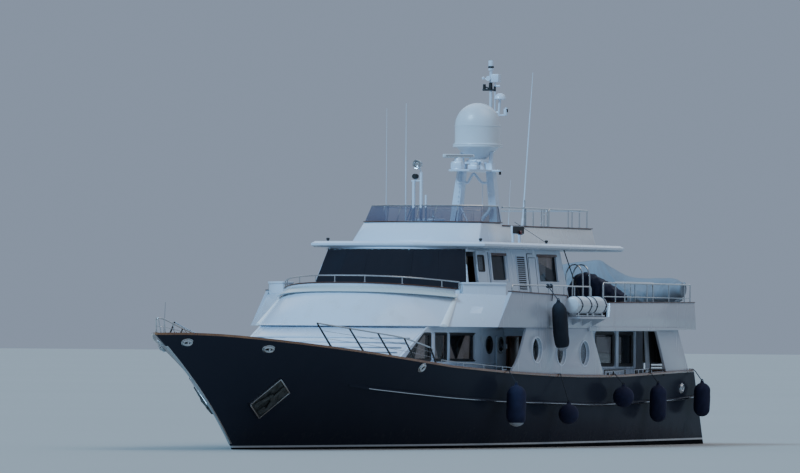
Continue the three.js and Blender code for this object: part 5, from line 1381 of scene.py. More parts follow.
for i in range(SLATS):
    z = 4.39 + i * SLAT_PITCH
    back = 0.25 * (z - 4.36)
    path = [on_side(-3.91 - back, z, 0.004), on_side(-4.51 - back, z, 0.004)]
    sweep(louvres, path, WALL_OUT, SLAT)
piece("engine_room_louvres", louvres, white, pair=True)
# A black plate behind the slats is painted shade, standing in for the dark inside of the vent.
louvre_shade_plate = bmesh.new()
plate(louvre_shade_plate, [p + WALL_OUT * 0.002 for p in raked(-3.91, -4.51, 4.37, 5.33)], -WALL_OUT * 0.03)
piece("louvre_painted_shade", louvre_shade_plate, rubber, pair=True)

# Pilothouse doors: they slide aft on a rail outside the wall, each with a small bonded light.
# The leaf is a light panel on rollers, with its handle screwed on.
for sign, side in SIDES:
    refined("pilothouse_door_" + side, white, edge=0.008, body="pilothouse_door_" + side)
    fittings = bmesh.new()
    light = rounded(raked(-1.06, -1.51, 4.88, 5.31, 0.05), 0.05)
    window(fittings, light, WALL_OUT, sunk=0.012, rim=0.02, proud=0.01)
    handle = ((-0.76, 4.38, 0.05), (-0.76, 4.4, 0.085), (-0.79, 4.6, 0.085), (-0.79, 4.62, 0.05))
    tube(fittings, [on_side(*spot) for spot in handle], 0.01, 8, 2)
    bmesh.ops.scale(fittings, vec=(1, sign, 1), verts=fittings.verts)
    piece(
        "pilothouse_door_fittings_" + side, fittings, dark_glass, rubber, steel,
        body="pilothouse_door_" + side,
    )
tracks = bmesh.new()
sweep(tracks, [on_side(-0.55, 5.475), on_side(-2.2, 5.475)], WALL_OUT, bar(0.012, -0.01, 0.036))
sweep(tracks, [on_side(-0.02, 3.56), on_side(-1.6, 3.56)], WALL_OUT, bar(0.01, -0.01, 0.03))
piece("door_tracks", tracks, steel, pair=True)
joinery = bmesh.new()
for low, high, edge in (
    ((-2.1, 0.9, 3.53), (-2.0, 2.1, 5.3), 0.02), ((-2.1, -2.1, 3.53), (-2.0, -0.9, 5.3), 0.02),
    ((-0.7, -1.7, 3.53), (-0.1, 1.7, 4.4), 0.05), ((-0.75, -0.9, 4.4), (-0.3, 0.9, 4.62), 0.04),
    ((-7.45, -2.0, 3.53), (-7.05, 2.0, 4.4), 0.03),
):
    box(joinery, low, high, edge)
piece("pilothouse_joinery", joinery, varnish)
screens = bmesh.new()
for low_x, high_x in ((-1.0, -0.74), (-0.71, -0.45)):
    box(screens, (low_x, 1.91, 3.55), (high_x, 1.95, 5.3), 0.012)
piece("helm_door_screens", screens, sofa_cloth, pair=True)
for sign, side in SIDES:
    curtain(
        "curtain_pilothouse_" + side, "pilothouse_side_" + side, -7.1, -5.7, sign * 2.02, 4.98, 5.42,
        top=1.0, rise=0.27,
    )

# Windscreen cover: black acrylic canvas stretched over the screens, pressed on to studs round its edge.
# It is sewn from upright cloths, with a doubled hem above and below.
canvas = Paint("black_canvas", (0.0120, 0.0088, 0.0145), 0.85, Specular_IOR_Level=0.25)
creases = canvas.noise(1.6, 4, (1, 1, 0.5))
canvas.coloured(creases.ramp(0.45, 0.75) * 0.6, (0.012, 0.0145, 0.023)).rough(0.74 + creases * 0.14)
canvas.bumped(creases + canvas.noise(400, 1) * 0.02, 0.02)
COVER_LOW, COVER_HIGH = 4.38, 5.49


def cover_at(share, z, out=0.0):
    """A point of the cover's face, from -1 to starboard to 1 to port."""
    y = share * (pilot_y(z) - 0.031)
    return Vector((screen_x(share, z) + 0.027 + out, y, z))


cover_mesh = bmesh.new()
across = spaced(-1, 1, 72)
face_rows = []
for share in spaced(0, 1, 24):
    z = between(COVER_LOW, COVER_HIGH, share)
    row = []
    for s in across:
        pull = math.sin(s * 9.4) * math.sin(share * math.pi) * 0.008
        ripple = math.sin(s * 31 + share * 3) * 0.004 * (1 - share)
        ripple += math.sin(s * 44 - share * 5) * 0.003 * share
        row.append(cover_at(s, z - 0.012 * math.cos(s * 9.4) * (1 - share), pull + ripple))
    face_rows.append(row)
skin(cover_mesh, face_rows, closed=False)
area, cover_mesh = thickened(cover_mesh, 0.008)
cover = piece(
    "windscreen_canvas", cover_mesh, canvas, sharp=60, slot="black_cover", replaces=("windscreen_cover",)
)
hems = bmesh.new()
for s in (-0.66, -0.32, 0.32, 0.66):
    path = [cover_at(s, z, 0.008) for z in spaced(COVER_LOW, COVER_HIGH, 12)]
    sweep(hems, path, (1, 0, 0.4), [(-0.014, -0.006), (-0.012, 0.005), (0.012, 0.005), (0.014, -0.006)])
for z in (COVER_LOW + 0.02, COVER_HIGH - 0.02):
    hem_profile = [(-0.006, -0.018), (0.006, -0.016), (0.006, 0.016), (-0.006, 0.018)]
    sweep(hems, [cover_at(s, z, 0.007) for s in across[1:-1]], (0, 0, 1), hem_profile)
    for share in spaced(-0.97, 0.97, 22):
        spot = cover_at(share, z, 0.01)
        drum(hems, spot, spot + Vector((0.008, 0, 0.002)), 0.012, 0.008, 10, 1)
seams = piece("windscreen_canvas_hems", hems, canvas, steel)
COVER_CLOTH = 1.23
area / COVER_CLOTH


# Roof: a moulded awning deck with rounded edges over the pilothouse and the boat deck. Its sidelights are
# fixed to black boards, each on two legs, and two small domed lamps stand near its edge.
refined("wheelhouse_roof", white, edge=0.02)
boards = bmesh.new()
plate(boards, rounded(upright(-3.56, -4.37, 5.962, 6.166, y=2.262), 0.03), Vector((0, 0.016, 0)))
box(boards, (-4.06, 2.27, 5.93), (-3.92, 2.37, 5.945), 0.004)
piece("sidelight_boards", boards, black, pair=True)
for sign, side, color in ((1, "port", (0.16, 0.012, 0.012)), (-1, "starboard", (0.01, 0.22, 0.06))):
    lens = Paint("lens_" + side, color, 0.15, Coat_Weight=0.6)
    lens.coloured(lens.z.rest(0.012).ramp(0.3, 0.7) * 0.5, tuple(c * 0.5 for c in color))
    lens_mesh = bmesh.new()
    profile = [(0, 0), (0.04, 0), (0.043, 0.012), (0.037, 0.045), (0.043, 0.08), (0.033, 0.1), (0, 0.104)]
    turn(lens_mesh, profile, (-3.99, sign * 2.322, 5.944))
    piece("sidelight_" + side, lens_mesh, lens)
lamps = bmesh.new()
for x, y in ((-1.09, 2.3), (-5.74, 2.4)):
    turn(lamps, [(0, 0), (0.035, 0), (0.03, 0.04), (0.05, 0.06), (0.045, 0.1), (0, 0.11)], (x, y, 5.692))
piece("roof_lamps", lamps, black, pair=True)

# Flybridge: a welded coaming capped in mahogany, with a tinted perspex screen, a helm, seats and a rail.
# The coaming is painted plate, and the perspex is screwed to a tube frame.
# Aft of about x -3 the coaming is a brighter, greyer white than the house: painted light on sides leaning up
# to the sky; forward it turns to the house's blue white.
lit_coaming_white = enamel("coaming_enamel_painted_light", (0.93, 0.93, 0.92), (0.86, 0.86, 0.84), (0.94, 0.94, 0.93))
lit_coaming_white.coloured(lit_coaming_white.x.ramp(-3.4, -2.6), (0.68, 0.76, 0.87))
refined("flybridge_coaming", lit_coaming_white, edge=0.045)
capping("flybridge_cap", "flybridge_coaming", 6.0, mahogany, lap=0.026, slot="teak")
perspex = Paint("tinted_perspex", (0.085, 0.08, 0.145), 0.08, Alpha=0.42)
# The screen grows lighter towards its top: a painted reflection of the sky.
perspex.coloured(perspex.z.ramp(6.25, 6.72) * 0.6, (0.15, 0.145, 0.21))
perspex.rough(0.06 + perspex.noise(2, 3) * 0.1)
refined("flybridge_screen", perspex, edge=0, slot="tinted")
FLY_TOP = 6.71
screen_frame = bmesh.new()


def fly_line(fore, half, z):
    """The plan of the flybridge's front at one height, from port to starboard."""
    front = [(fore + bulge(y, half, 0.65, 2.6), y, z) for y in spaced(half, -half, 24)]
    return [Vector(p) for p in [(-3.91, half, z), *front, (-3.91, -half, z)]]


head_line = fly_line(-2.76, 1.67, FLY_TOP + 0.012)
tube(screen_frame, head_line, 0.023, 10)
for at in (0, 1, 5, 9, 13, 17, 21, 25, 26):
    foot = fly_line(-2.43, 1.78, 6.26)[at]
    inner = Vector((-0.05, -0.05 if foot.y > 0 else 0.05, 0))
    drum(screen_frame, foot + inner, head_line[at] + inner * 0.3, 0.016, sides=10)
piece("flybridge_screen_frame", screen_frame, steel, slot="steel")
fly_rail = bmesh.new()
FLY_RAIL = 6.7
fore_heads = [Vector((x, 1.76, FLY_RAIL)) for x in (-4.0, -5.77, -6.96, -7.15, -7.40)]
aft_heads = [Vector((x, 1.76, FLY_RAIL)) for x in (-7.52, -9.0, -9.86, -10.45)]
aft_heads += [Vector((-10.66, 1.60, FLY_RAIL)), Vector((-10.70, 1.2, FLY_RAIL))]
aft_drops = [0.5] * 4 + [0, 1.0]
for heads in (fore_heads, mirrored(fore_heads)):
    guard_rail(fly_rail, heads, [0] + [0.5] * 4, radius=0.024)
    y = heads[0].y * 1.72 / 1.76
    drum(fly_rail, (-5.79, y, 6.2), (-5.77, y, 6.93), 0.02, sides=10)
stern_head = [Vector((-10.70, 0, FLY_RAIL))]
guard_rail(
    fly_rail, aft_heads + stern_head + mirrored(aft_heads[::-1]), aft_drops + [1.0] + aft_drops[::-1], 0.024
)
piece("flybridge_guard_rail", fly_rail, steel, slot="steel", replaces=("flybridge_rail",))
bases = bmesh.new()
box(bases, (-3.15, -0.75, 5.69), (-2.75, 0.75, 6.3), 0.05)
box(bases, (-3.0, -0.5, 6.28), (-2.78, 0.5, 6.36), 0.03)
for low, high in (
    ((-4.5, -0.6, 5.69), (-4.05, 0.6, 6.1)), ((-5.6, 0.95, 5.69), (-3.95, 1.55, 6.05)),
    ((-5.6, -1.55, 5.69), (-3.95, -0.95, 6.05)),
):
    box(bases, low, high, 0.03)
piece("flybridge_seat_bases", bases, white)
seat_vinyl = mottled("seat_vinyl", (0.50, 0.49, 0.46), (0.42, 0.41, 0.385), 0.6, grain=(150,))


def cushion(name, low, high, paint, seams=()):
    """A crowned cushion between two corners: its sides pull in and it swells in the middle."""
    bm = bmesh.new()
    bmesh.ops.create_cube(bm, size=1)
    bmesh.ops.subdivide_edges(bm, edges=bm.edges[:], cuts=9, use_grid_fill=True)
    low, high = Vector(low), Vector(high)
    size, middle = high - low, (low + high) / 2
    for vert in bm.verts:
        a, b, c = vert.co * 2
        crown = (1 - a**4) * (1 - b**4)
        tuck = sum(math.exp(-((a - s) * 9) ** 2) for s in seams)
        long, wide = 1 - 0.03 * (1 - b * b) * abs(a) ** 6, 1 - 0.03 * (1 - a * a) * abs(b) ** 6
        rise = 0.72 + 0.28 * crown - 0.22 * tuck * crown if c > 0 else 0.9 + 0.1 * crown
        vert.co = Vector((a * long * size.x, b * wide * size.y, c * rise * size.z)) / 2 + middle
    ease(bm, corners_of(bm), min(size) * 0.14, 3)
    piece(name, bm, paint, sharp=60)


for sign, side in SIDES:
    y = sorted((sign * 0.93, sign * 1.57))
    cushion(
        "flybridge_bench_" + side, (-5.62, y[0], 6.045), (-3.93, y[1], 6.16), seat_vinyl,
        seams=(-0.33, 0.33),
    )
cushion("helm_seat_cushion", (-4.52, -0.62, 6.095), (-4.03, 0.62, 6.2), seat_vinyl)
wheel = bmesh.new()
hub, up, aside = Vector((-3.24, 0, 6.25)), Vector((0.06, 0, 0.18)), Vector((0, 0.19, 0))
tube(wheel, oval(hub, up, aside, 28), 0.014, 8)
for k in range(3):
    t = math.tau * k / 3 + 0.5
    drum(wheel, hub, hub + up * math.cos(t) + aside * math.sin(t), 0.008, sides=8)
drum(wheel, (-3.26, 0, 6.26), (-3.13, 0, 6.22), 0.022)
seat_back = (
    (-4.5, 0.3, 6.1), (-4.56, 0.3, 6.5), (-4.56, 0.36, 6.56), (-4.56, 0.56, 6.56), (-4.56, 0.6, 6.5),
    (-4.5, 0.6, 6.1),
)
for shift in (0, -0.9):
    tube(wheel, [(x, y + shift, z) for x, y, z in seat_back], 0.014, 8)
piece("flybridge_wheel", wheel, steel)

# Whip aerials, stays and small tubes: glass fibre rods clamped to the coaming, and a wire down to the roof.
# Columns: foot, head, radius of the foot, share of the height that is thick.
WHIPS = [
    ((-3.0, -1.35, 6.0), (-3.0, -1.35, 9.46), 0.015, 0.3),
    ((-3.0, -0.75, 6.0), (-3.02, -0.77, 9.6), 0.022, 0.58),
    ((-5.66, 1.7, 6.15), (-6.37, 1.7, 10.55), 0.024, 0.74),
    ((-4.61, 1.7, 6.15), (-4.75, 1.7, 7.49), 0.011, 0.2),
]
whips = bmesh.new()
for foot, head, radius, thick in WHIPS:
    waist = Vector(foot).lerp(Vector(head), thick)
    drum(whips, foot, waist, radius, radius * 0.75, 10)
    drum(whips, waist - Vector((0, 0, 0.01)), head, radius * 0.6, radius * 0.3, 8)
    drum(whips, foot, Vector(foot).lerp(waist, 0.08), radius * 1.5, sides=12)
piece("whip_aerials", whips, white)
stays = bmesh.new()
tube(stays, [(-4.9, 1.77, 6.3), (-5.72, 2.38, 5.74)], 0.007, 6)
tube(stays, [(-6.62, 2.56, 5.6), (-7.81, 2.6, 4.22), (-8.46, 2.6, 3.52)], 0.015, 8)
piece("stays", stays, black)


# Mast: two plated legs that carry a platform, with a bent conduit, lamps and a pole of instruments.
# The legs are welded to the roof and painted white, and the lamps are screwed to them.
refined("mast", white, edge=0.012)
conduit = bmesh.new()
bend = [
    (-6.08, -0.42, 7.76), (-6.08, -0.46, 7.52), (-6.06, -0.40, 7.43), (-6.06, -0.26, 7.45),
    (-6.06, -0.14, 7.43),
    (-6.06, 0.0, 7.65), (-6.06, 0.09, 7.65), (-6.06, 0.28, 7.44), (-6.12, 0.44, 7.42),
]
tube(conduit, curved(bend, 5), 0.036, 12)
lead = ((-6.08, 0.30, 5.71), (-6.08, 0.30, 6.3), (-6.08, 0.36, 6.46), (-6.08, 0.50, 6.6), (-6.12, 0.54, 6.74))
tube(conduit, curved(lead, 5), 0.05, 12)
tube(conduit, [(-6.0, -0.31, 6.72), (-6.0, 0.2, 5.72)], 0.02, 8)
tube(conduit, [(-6.08, 0.31, 7.42), (-6.08, 0.31, 6.6)], 0.008, 6)
box(conduit, (-6.3, -0.36, 7.965), (-6.22, 0.36, 8.02), 0.008)
box(conduit, (-6.15, 0.55, 7.735), (-5.9, 0.9, 7.785), 0.012)
for sign in (1, -1):
    drum(conduit, (-6.36, sign * 0.42, 7.9), (-6.37, sign * 0.47, 8.3), 0.07, 0.05, 12)
    for k in range(12):
        z = 6.1 + k * 0.135
        y = 0.62 - (z - 5.7) * 0.105
        drum(conduit, (-6.2, sign * y, z), (-6.165, sign * y, z), 0.016, sides=10)
piece("mast_conduit_and_steps", conduit, white)

# Radar gearboxes: cast housings in two rounded tiers that carry the scanners on the platform.
# They are painted white and bolted down at their feet.
gearboxes = bmesh.new()
for x, y, wide, top in ((-5.35, -0.15, 0.17, 8.085), (-5.6, 0.24, 0.15, 8.0)):
    box(gearboxes, (x - wide, y - wide, 7.785), (x + wide, y + wide, top - 0.07), 0.05)
    turn(gearboxes, [(0, 0), (0.12, 0), (0.13, 0.05), (0.1, 0.09), (0, 0.1)], (x, y, top - 0.1), steps=20)
box(gearboxes, (-5.64, 0.02, 8.0), (-5.56, 0.46, 8.055), 0.02)
piece("radar_gearboxes", gearboxes, white)
pole = bmesh.new()
POLE = Vector((-7.4, 0, 7.79))
pole_parts = [
    ((0, 0, 2.86), (0, 0, 2.92), 0.05, 0.05), ((0, 0, 2.92), (0, 0, 3.0), 0.085, 0.07),
    ((0, 0, 3.0), (0, 0, 3.1), 0.055, 0.055),
    ((0, 0, 3.06), (0, 0, 3.14), 0.07, 0.06), ((0, -0.05, 2.34), (0, -0.22, 2.4), 0.02, 0.02),
    ((0, -0.2, 2.3), (0, -0.2, 2.46), 0.045, 0.04),
    ((0.02, 0, 2.28), (0.02, 0, 2.5), 0.06, 0.05), ((0.02, -0.24, 2.3), (0.02, 0.14, 2.3), 0.028, 0.028),
    ((0, 0.12, 2.26), (0, 0.12, 2.4), 0.035, 0.03), ((0, 0.48, 1.66), (0, 0.48, 1.75), 0.045, 0.05),
    ((1.4, 0.87, -0.14), (1.4, 0.87, -0.05), 0.035, 0.03),
]
for foot, head, low, high in pole_parts:
    drum(pole, POLE + Vector(foot), POLE + Vector(head), low, high, 16)
piece("masthead_lamps", pole, black)
arm = bmesh.new()
turn(
    arm, [(0, 0), (0.15, 0), (0.175, 0.02), (0.165, 0.08), (0.115, 0.145), (0.05, 0.18), (0, 0.185)],
    POLE + Vector((0, 0.29, 2.02)), steps=32,
)
drum(arm, POLE + Vector((0, 0.25, 1.62)), POLE + Vector((0, 0.28, 2.03)), 0.035)
tube(arm, [POLE + Vector((0, 0.13, 1.62)), POLE + Vector((0, 0.13, 2.5))], 0.018, 8)
tube(arm, [POLE + Vector((0, 0, 1.66)), POLE + Vector((0, 0.27, 1.66))], 0.02, 8)
box(arm, POLE + Vector((-0.11, 0.035, 2.515)), POLE + Vector((0.11, 0.27, 2.745)), 0.015)
turn(
    arm, [(0, 0), (0.05, 0), (0.075, 0.09), (0.07, 0.12), (0, 0.12)], POLE + Vector((0.02, -0.03, 2.62)),
    (1, 0, 0), 20,
)
turn(arm, [(0, 0), (0.04, 0), (0.05, 0.06), (0, 0.08)], POLE + Vector((0, -0.23, 2.6)), steps=16)
tube(arm, [POLE + Vector((0, -0.23, 2.62)), POLE + Vector((0, 0, 2.58))], 0.014, 8)
drum(arm, POLE + Vector((0, 0.16, 2.41)), POLE + Vector((0, 0.28, 2.41)), 0.03)
drum(arm, POLE + Vector((0, 0.48, 1.74)), POLE + Vector((0, 0.48, 1.8)), 0.03, 0.04)
piece("masthead_instruments", arm, white)

# Satellite dome: a glass fibre radome in two mouldings, bolted together at a flange over a tapered base.
# Its gel coat has chalked a little in the sun.
gel = Paint("gelcoat", (0.68, 0.72, 0.77), 0.30, Coat_Weight=0.2, Coat_Roughness=0.12)
chalk = gel.noise(1.6, 4)
gel.coloured(chalk.ramp(0.45, 0.75) * 0.5, (0.60, 0.63, 0.66))
gel.rough(0.28 + chalk * 0.14).bumped(gel.noise(3, 2), 0.002)
dome = bmesh.new()
dome_profile = [
    (0, 0), (0.27, 0), (0.27, 0.03), (0.25, 0.045), (0.25, 0.33), (0.33, 0.365), (0.60, 0.635),
    (0.63, 0.645), (0.705, 0.648),
    (0.71, 0.67), (0.70, 0.68), (0.70, 0.70), (0.71, 0.715), (0.70, 0.735), (0.658, 0.745), (0.652, 0.79),
    (0.652, 1.235), (0.658, 1.24),
    (0.658, 1.255), (0.652, 1.26),
]
dome_profile += [
    (0.65 * math.cos(k * math.pi / 24), 1.25 + 0.65 * math.sin(k * math.pi / 24)) for k in range(1, 12)
] + [(0, 1.9)]
turn(dome, dome_profile, (-6.45, 0, 7.791), steps=56)
for k in range(20):
    t = math.tau * k / 20
    spot = Vector((-6.45 + 0.685 * math.cos(t), 0.685 * math.sin(t), 8.428))
    drum(dome, spot, spot + Vector((0, 0, 0.1)), 0.011, sides=8)
piece("satellite_radome", dome, gel, slot="gelcoat", replaces=("satellite_dome",))
radar = bmesh.new()
beam_turn = Matrix.Translation((-5.35, -0.13, 8.105)) @ Matrix.Rotation(math.radians(47), 4, "Z")
box(radar, (-0.058, -0.48, 0.012), (0.058, 0.48, 0.112), 0.026, place=beam_turn)
box(radar, (0.056, -0.42, 0.032), (0.061, 0.42, 0.092), 0.001, 1, place=beam_turn)
drum(radar, beam_turn @ Vector((0, 0, 0.004)), beam_turn @ Vector((0, 0, 0.03)), 0.075, 0.07)
piece("radar_beam", radar, gel, steel, body="radar_scanner", slot="gelcoat", replaces=("radar_scanner",))

# Searchlight: a chromed spot and a black camera on a white frame of two posts behind the screen.
# The posts are welded tube, bolted down through the roof.
searchlight = bmesh.new()
for y, top in ((-0.15, 7.41), (0.075, 7.64)):
    drum(searchlight, (-2.13, y, 6.0), (-2.13, y, top), 0.045, 0.045, 18)
box(searchlight, (-2.17, -0.215, 7.39), (-2.09, 0.12, 7.425), 0.008)
drum(searchlight, (-2.13, 0.22, 6.0), (-2.13, 0.22, 7.01), 0.032, 0.032, 16)
for shift in (0, 0.1):
    drum(searchlight, (-2.4, -0.56 + shift, 6.1), (-2.2, -0.24 + shift * 0.7, 6.7), 0.016, sides=8)
drum(searchlight, (-2.13, -0.1, 7.42), (-2.13, -0.1, 7.48), 0.03)
tube(
    searchlight,
    curved([(-2.13, 0.075, 7.6), (-2.13, 0.06, 7.7), (-2.12, 0.02, 7.75), (-2.1, -0.03, 7.76)], 3), 0.026,
    10,
)
turn(
    searchlight,
    [
        (0, 0), (0.07, 0), (0.105, 0.04), (0.118, 0.11), (0.12, 0.2), (0.128, 0.205), (0.124, 0.222),
        (0.105, 0.215), (0.06, 0.15), (0, 0.13),
    ],
    (-2.22, -0.02, 7.865), (1, 0, 0), 32, 1,
)
piece("searchlight_lamp", searchlight, white, steel, slot="gelcoat", replaces=("searchlight",))
pod = bmesh.new()
turn(
    pod, [(0, 0), (0.06, 0), (0.075, 0.03), (0.075, 0.17), (0.06, 0.2), (0.05, 0.19), (0, 0.19)],
    (-2.23, -0.105, 7.53), (1, 0, 0), 24,
)
piece("camera_pod", pod, black)


# Liferafts: two glass fibre canisters on each side shelf, strapped into steel cradles.
# The straps are flat webbing, drawn tight and made fast to the cradle.
WEB = (60, 2, (1, 0.2, 0.2))
strap_cloth = mottled("raft_webbing", (0.03, 0.032, 0.045), (0.055, 0.057, 0.07), 0.85, WEB, grain=(300,))
RAFT_Y, RAFT_Z, RAFT_RADIUS, RAFT_HALF = 3.835, 3.9706, 0.25, 0.555
rafts = bmesh.new()
webbing = bmesh.new()
cradles = bmesh.new()
for raft_x in (-4.63, -5.75):
    profile = [(0, -RAFT_HALF), (0.14, -0.552), (0.2, -0.53), (0.238, -0.48), (RAFT_RADIUS - 0.004, -0.40)]
    for at in (-0.27, -0.12, 0.12, 0.27):
        profile += [(0.246, at - 0.02), (0.252, at - 0.012), (0.252, at + 0.012), (0.246, at + 0.02)]
    profile += [(r, -h) for r, h in profile[4::-1]]
    turn(rafts, profile, (raft_x, RAFT_Y, RAFT_Z), (1, 0, 0), 40)
    seam_line = [(raft_x + s * 0.53, RAFT_Y + 0.249, RAFT_Z + 0.01) for s in (-1, 1)]
    sweep(rafts, seam_line, (0, 1, 0), [(-0.02, -0.02), (-0.02, 0.012), (0.02, 0.012), (0.02, -0.02)])
    for at in (-0.34, 0.34):
        hoop = oval(
            Vector((raft_x + at, RAFT_Y, RAFT_Z)), Vector((0, 0.256, 0)), Vector((0, 0, 0.256)), 36
        )[:-1]
        sweep(
            webbing, hoop, (1, 0, 0), [(-0.006, -0.025), (0.004, -0.025), (0.004, 0.025), (-0.006, 0.025)],
            loop=True,
        )
        box(
            webbing, (raft_x + at - 0.03, RAFT_Y + 0.25, RAFT_Z - 0.05),
            (raft_x + at + 0.03, RAFT_Y + 0.272, RAFT_Z + 0.05), 0.006,
        )
        box(cradles, (raft_x + at - 0.04, 3.69, 3.652), (raft_x + at + 0.04, 3.98, 3.80), 0.015)
for y in (3.72, 3.95):
    drum(cradles, (-6.3, y, 3.68), (-4.1, y, 3.68), 0.02)
for sign_mesh in (rafts, webbing, cradles):
    both_sides(sign_mesh)
piece("liferaft_canisters", rafts, gel, slot="gelcoat", replaces=("liferafts_port", "liferafts_starboard"))
piece("liferaft_straps", webbing, strap_cloth)
piece("liferaft_cradles", cradles, steel)


# Tender: an inflatable with a rigid hull, athwart the boat deck on chocks, its tubes in navy fabric.
# The hull is glass fibre, and the tubes are glued along its edge.
fabric = Paint("navy_fabric", (0.0105, 0.015, 0.052), 0.72)
worn = fabric.noise(3.5, 5)
fabric.coloured(worn.ramp(0.45, 0.75) * 0.6, (0.020, 0.027, 0.072)).rough(0.66 + worn * 0.2)
fabric.bumped(fabric.noise(260, 2) * 0.3 + worn, 0.004)
TENDER_KEEL, TENDER_STERN, TENDER_BOW = 3.70, Vector((-13.62, -1.10, 0)), Vector((-14.13, 3.30, 0))
# Columns: place from 1 at the bow to 0 at the stern, half width, lift of the keel, tube height, cover height.
TENDER = [
    (1.0, 0.18, 0.47, 4.50, 4.66), (0.95, 0.33, 0.37, 4.40, 4.78), (0.87, 0.50, 0.18, 4.29, 4.80),
    (0.75, 0.66, 0.06, 4.22, 4.79),
    (0.65, 0.725, 0.02, 4.17, 4.83), (0.59, 0.74, 0.0, 4.155, 4.93), (0.5, 0.755, 0.0, 4.145, 5.15),
    (0.44, 0.76, 0.0, 4.14, 5.30),
    (0.38, 0.76, 0.0, 4.14, 5.29), (0.22, 0.76, 0.0, 4.13, 5.21), (0.1, 0.74, 0.0, 4.13, 5.05),
    (0.0, 0.64, 0.12, 4.13, 4.75),
]
TUBE = 0.21


def tender_at(t):
    """The tender's middle at a place along it, then half width, keel lift, tube height and cover height."""
    return [TENDER_STERN.lerp(TENDER_BOW, t)] + [
        smooth(TENDER, min(max(t, 0), 1), column) for column in (1, 2, 3, 4)
    ]


hull_rings = []
for i in range(25):
    middle, half, lift, tube_z, _ = tender_at(i / 24)
    side = [
        (0.02, TENDER_KEEL + lift), (half * 0.4, TENDER_KEEL + 0.09 + lift * 0.9),
        (half - 0.2, TENDER_KEEL + 0.2 + lift * 0.8),
        (half - 0.1, tube_z - 0.2), (half - 0.1, tube_z + 0.1), (half * 0.4, tube_z + 0.12),
        (0.02, tube_z + 0.13),
    ]
    ring = [middle + Vector((max(a, 0.02), 0, z)) for a, z in side]
    hull_rings.append(ring + [Vector((2 * middle.x - p.x, p.y, p.z)) for p in ring[::-1]])
tender = bmesh.new()
skin(tender, hull_rings, finish=1)
for sign in (1, -1):
    path, rings = [], []
    for i in range(33):
        middle, half, _, tube_z, _ = tender_at(min(i / 32, 0.985))
        path.append(middle + Vector((sign * max(half - TUBE, 0.0), 0, tube_z)))
    for i, point in enumerate(path):
        way = (path[min(i + 1, 32)] - path[max(i - 1, 0)]).normalized()
        across = way.cross(Vector((0, 0, 1))).normalized()
        taper = TUBE * min(1, 0.25 + (i / 4) ** 0.6, 0.7 + (32 - i) * 0.06)
        rings.append(
            [
                point + (across * math.cos(k) + Vector((0, 0, 1)) * math.sin(k)) * taper
                for k in [math.tau * j / 20 for j in range(20)]
            ]
        )
    skin(tender, rings)
    tube(tender, [p + Vector((sign * TUBE * 0.96, 0, 0)) for p in path[2:-3]], 0.025, 8, 2)
piece("tender_hull", tender, fabric, gel, black, slot="navy_fabric", replaces=("tender",))

# Tender cover: grey acrylic canvas drawn tight from the console's peak over the tubes, lashed round the bow.
# Its cloths are joined by flat seams, and it folds where the lashing gathers it.
grey_canvas = Paint("grey_canvas", (0.25, 0.275, 0.315), 0.85)
drape_tone = grey_canvas.noise(1.3, 4)
grey_canvas.coloured(drape_tone.ramp(0.4, 0.75) * 0.7, (0.19, 0.213, 0.25)).rough(0.78 + drape_tone * 0.14)
grey_canvas.bumped(drape_tone + grey_canvas.noise(350, 1) * 0.015, 0.02)
COVER_ROWS, COVER_COLUMNS, SHOULDER = 132, 72, 0.58
# Columns: place along the boat where a fold leaves the ridge, its place at the hem, its height, its width.
FOLDS = [
    (0.405, 0.6, 0.064, 0.016), (0.42, 0.67, 0.054, 0.014), (0.455, 0.86, 0.072, 0.022),
    (0.44, 0.99, 0.032, 0.016), (0.4, 0.47, 0.035, 0.014),
    (0.385, 0.33, 0.042, 0.018), (0.375, 0.17, 0.038, 0.020), (0.36, 0.04, 0.035, 0.020),
    (0.62, 0.72, 0.026, 0.012), (0.8, 0.79, 0.029, 0.012),
    (0.9, 0.86, 0.035, 0.012), (0.97, 0.93, 0.032, 0.010),
]


def cover_point(t, a):
    """A point of the cover at a place along the boat, a from -1 at the aft hem to 1 at the forward hem."""
    middle, half, _, tube_z, top = tender_at(t)
    reach = abs(a)
    inner, around, high = max(half - TUBE, 0), TUBE + 0.022, math.radians(58)
    wrapped = min(max((t - 0.48) / 0.2, 0), 1) ** 1.5
    low = math.radians(between(-12, -112, wrapped))
    lift = sum(
        rise * max(0, 1 - abs(t - between(near, far, reach)) / wide) * min(1, 0.35 + reach * 2)
        for near, far, rise, wide in FOLDS
    )
    crumple = math.sin(t * 118 + a * 4) * 0.006 + math.sin(t * 71 - a * 9) * 0.007
    if reach < SHOULDER:
        s = reach / SHOULDER
        edge = Vector((inner + around * math.cos(high), 0, tube_z + around * math.sin(high)))
        out, z = edge.x * s ** 0.92, between(top, edge.z, s ** 1.12)
        sag = -0.045 * math.sin(math.pi * s) * (0.55 + 0.45 * math.sin(t * 19))
        return middle + Vector(
            (
                math.copysign(out + lift * 0.5, a) if reach > 1e-6 else 0, 0,
                z + (lift + crumple * 0.6) * (0.4 + 0.6 * s) + sag * s,
            )
        )
    s = (reach - SHOULDER) / (1 - SHOULDER)
    turned = between(high, low, s)
    swell = around + lift * 0.7 + crumple * (1 + 1.6 * wrapped * s)
    swell += 0.012 * math.sin(t * 46 + (1 if a > 0 else 2)) * s
    out = math.copysign(max(inner + swell * math.cos(turned), 0.02), a)
    return middle + Vector((out, 0, tube_z + swell * math.sin(turned)))


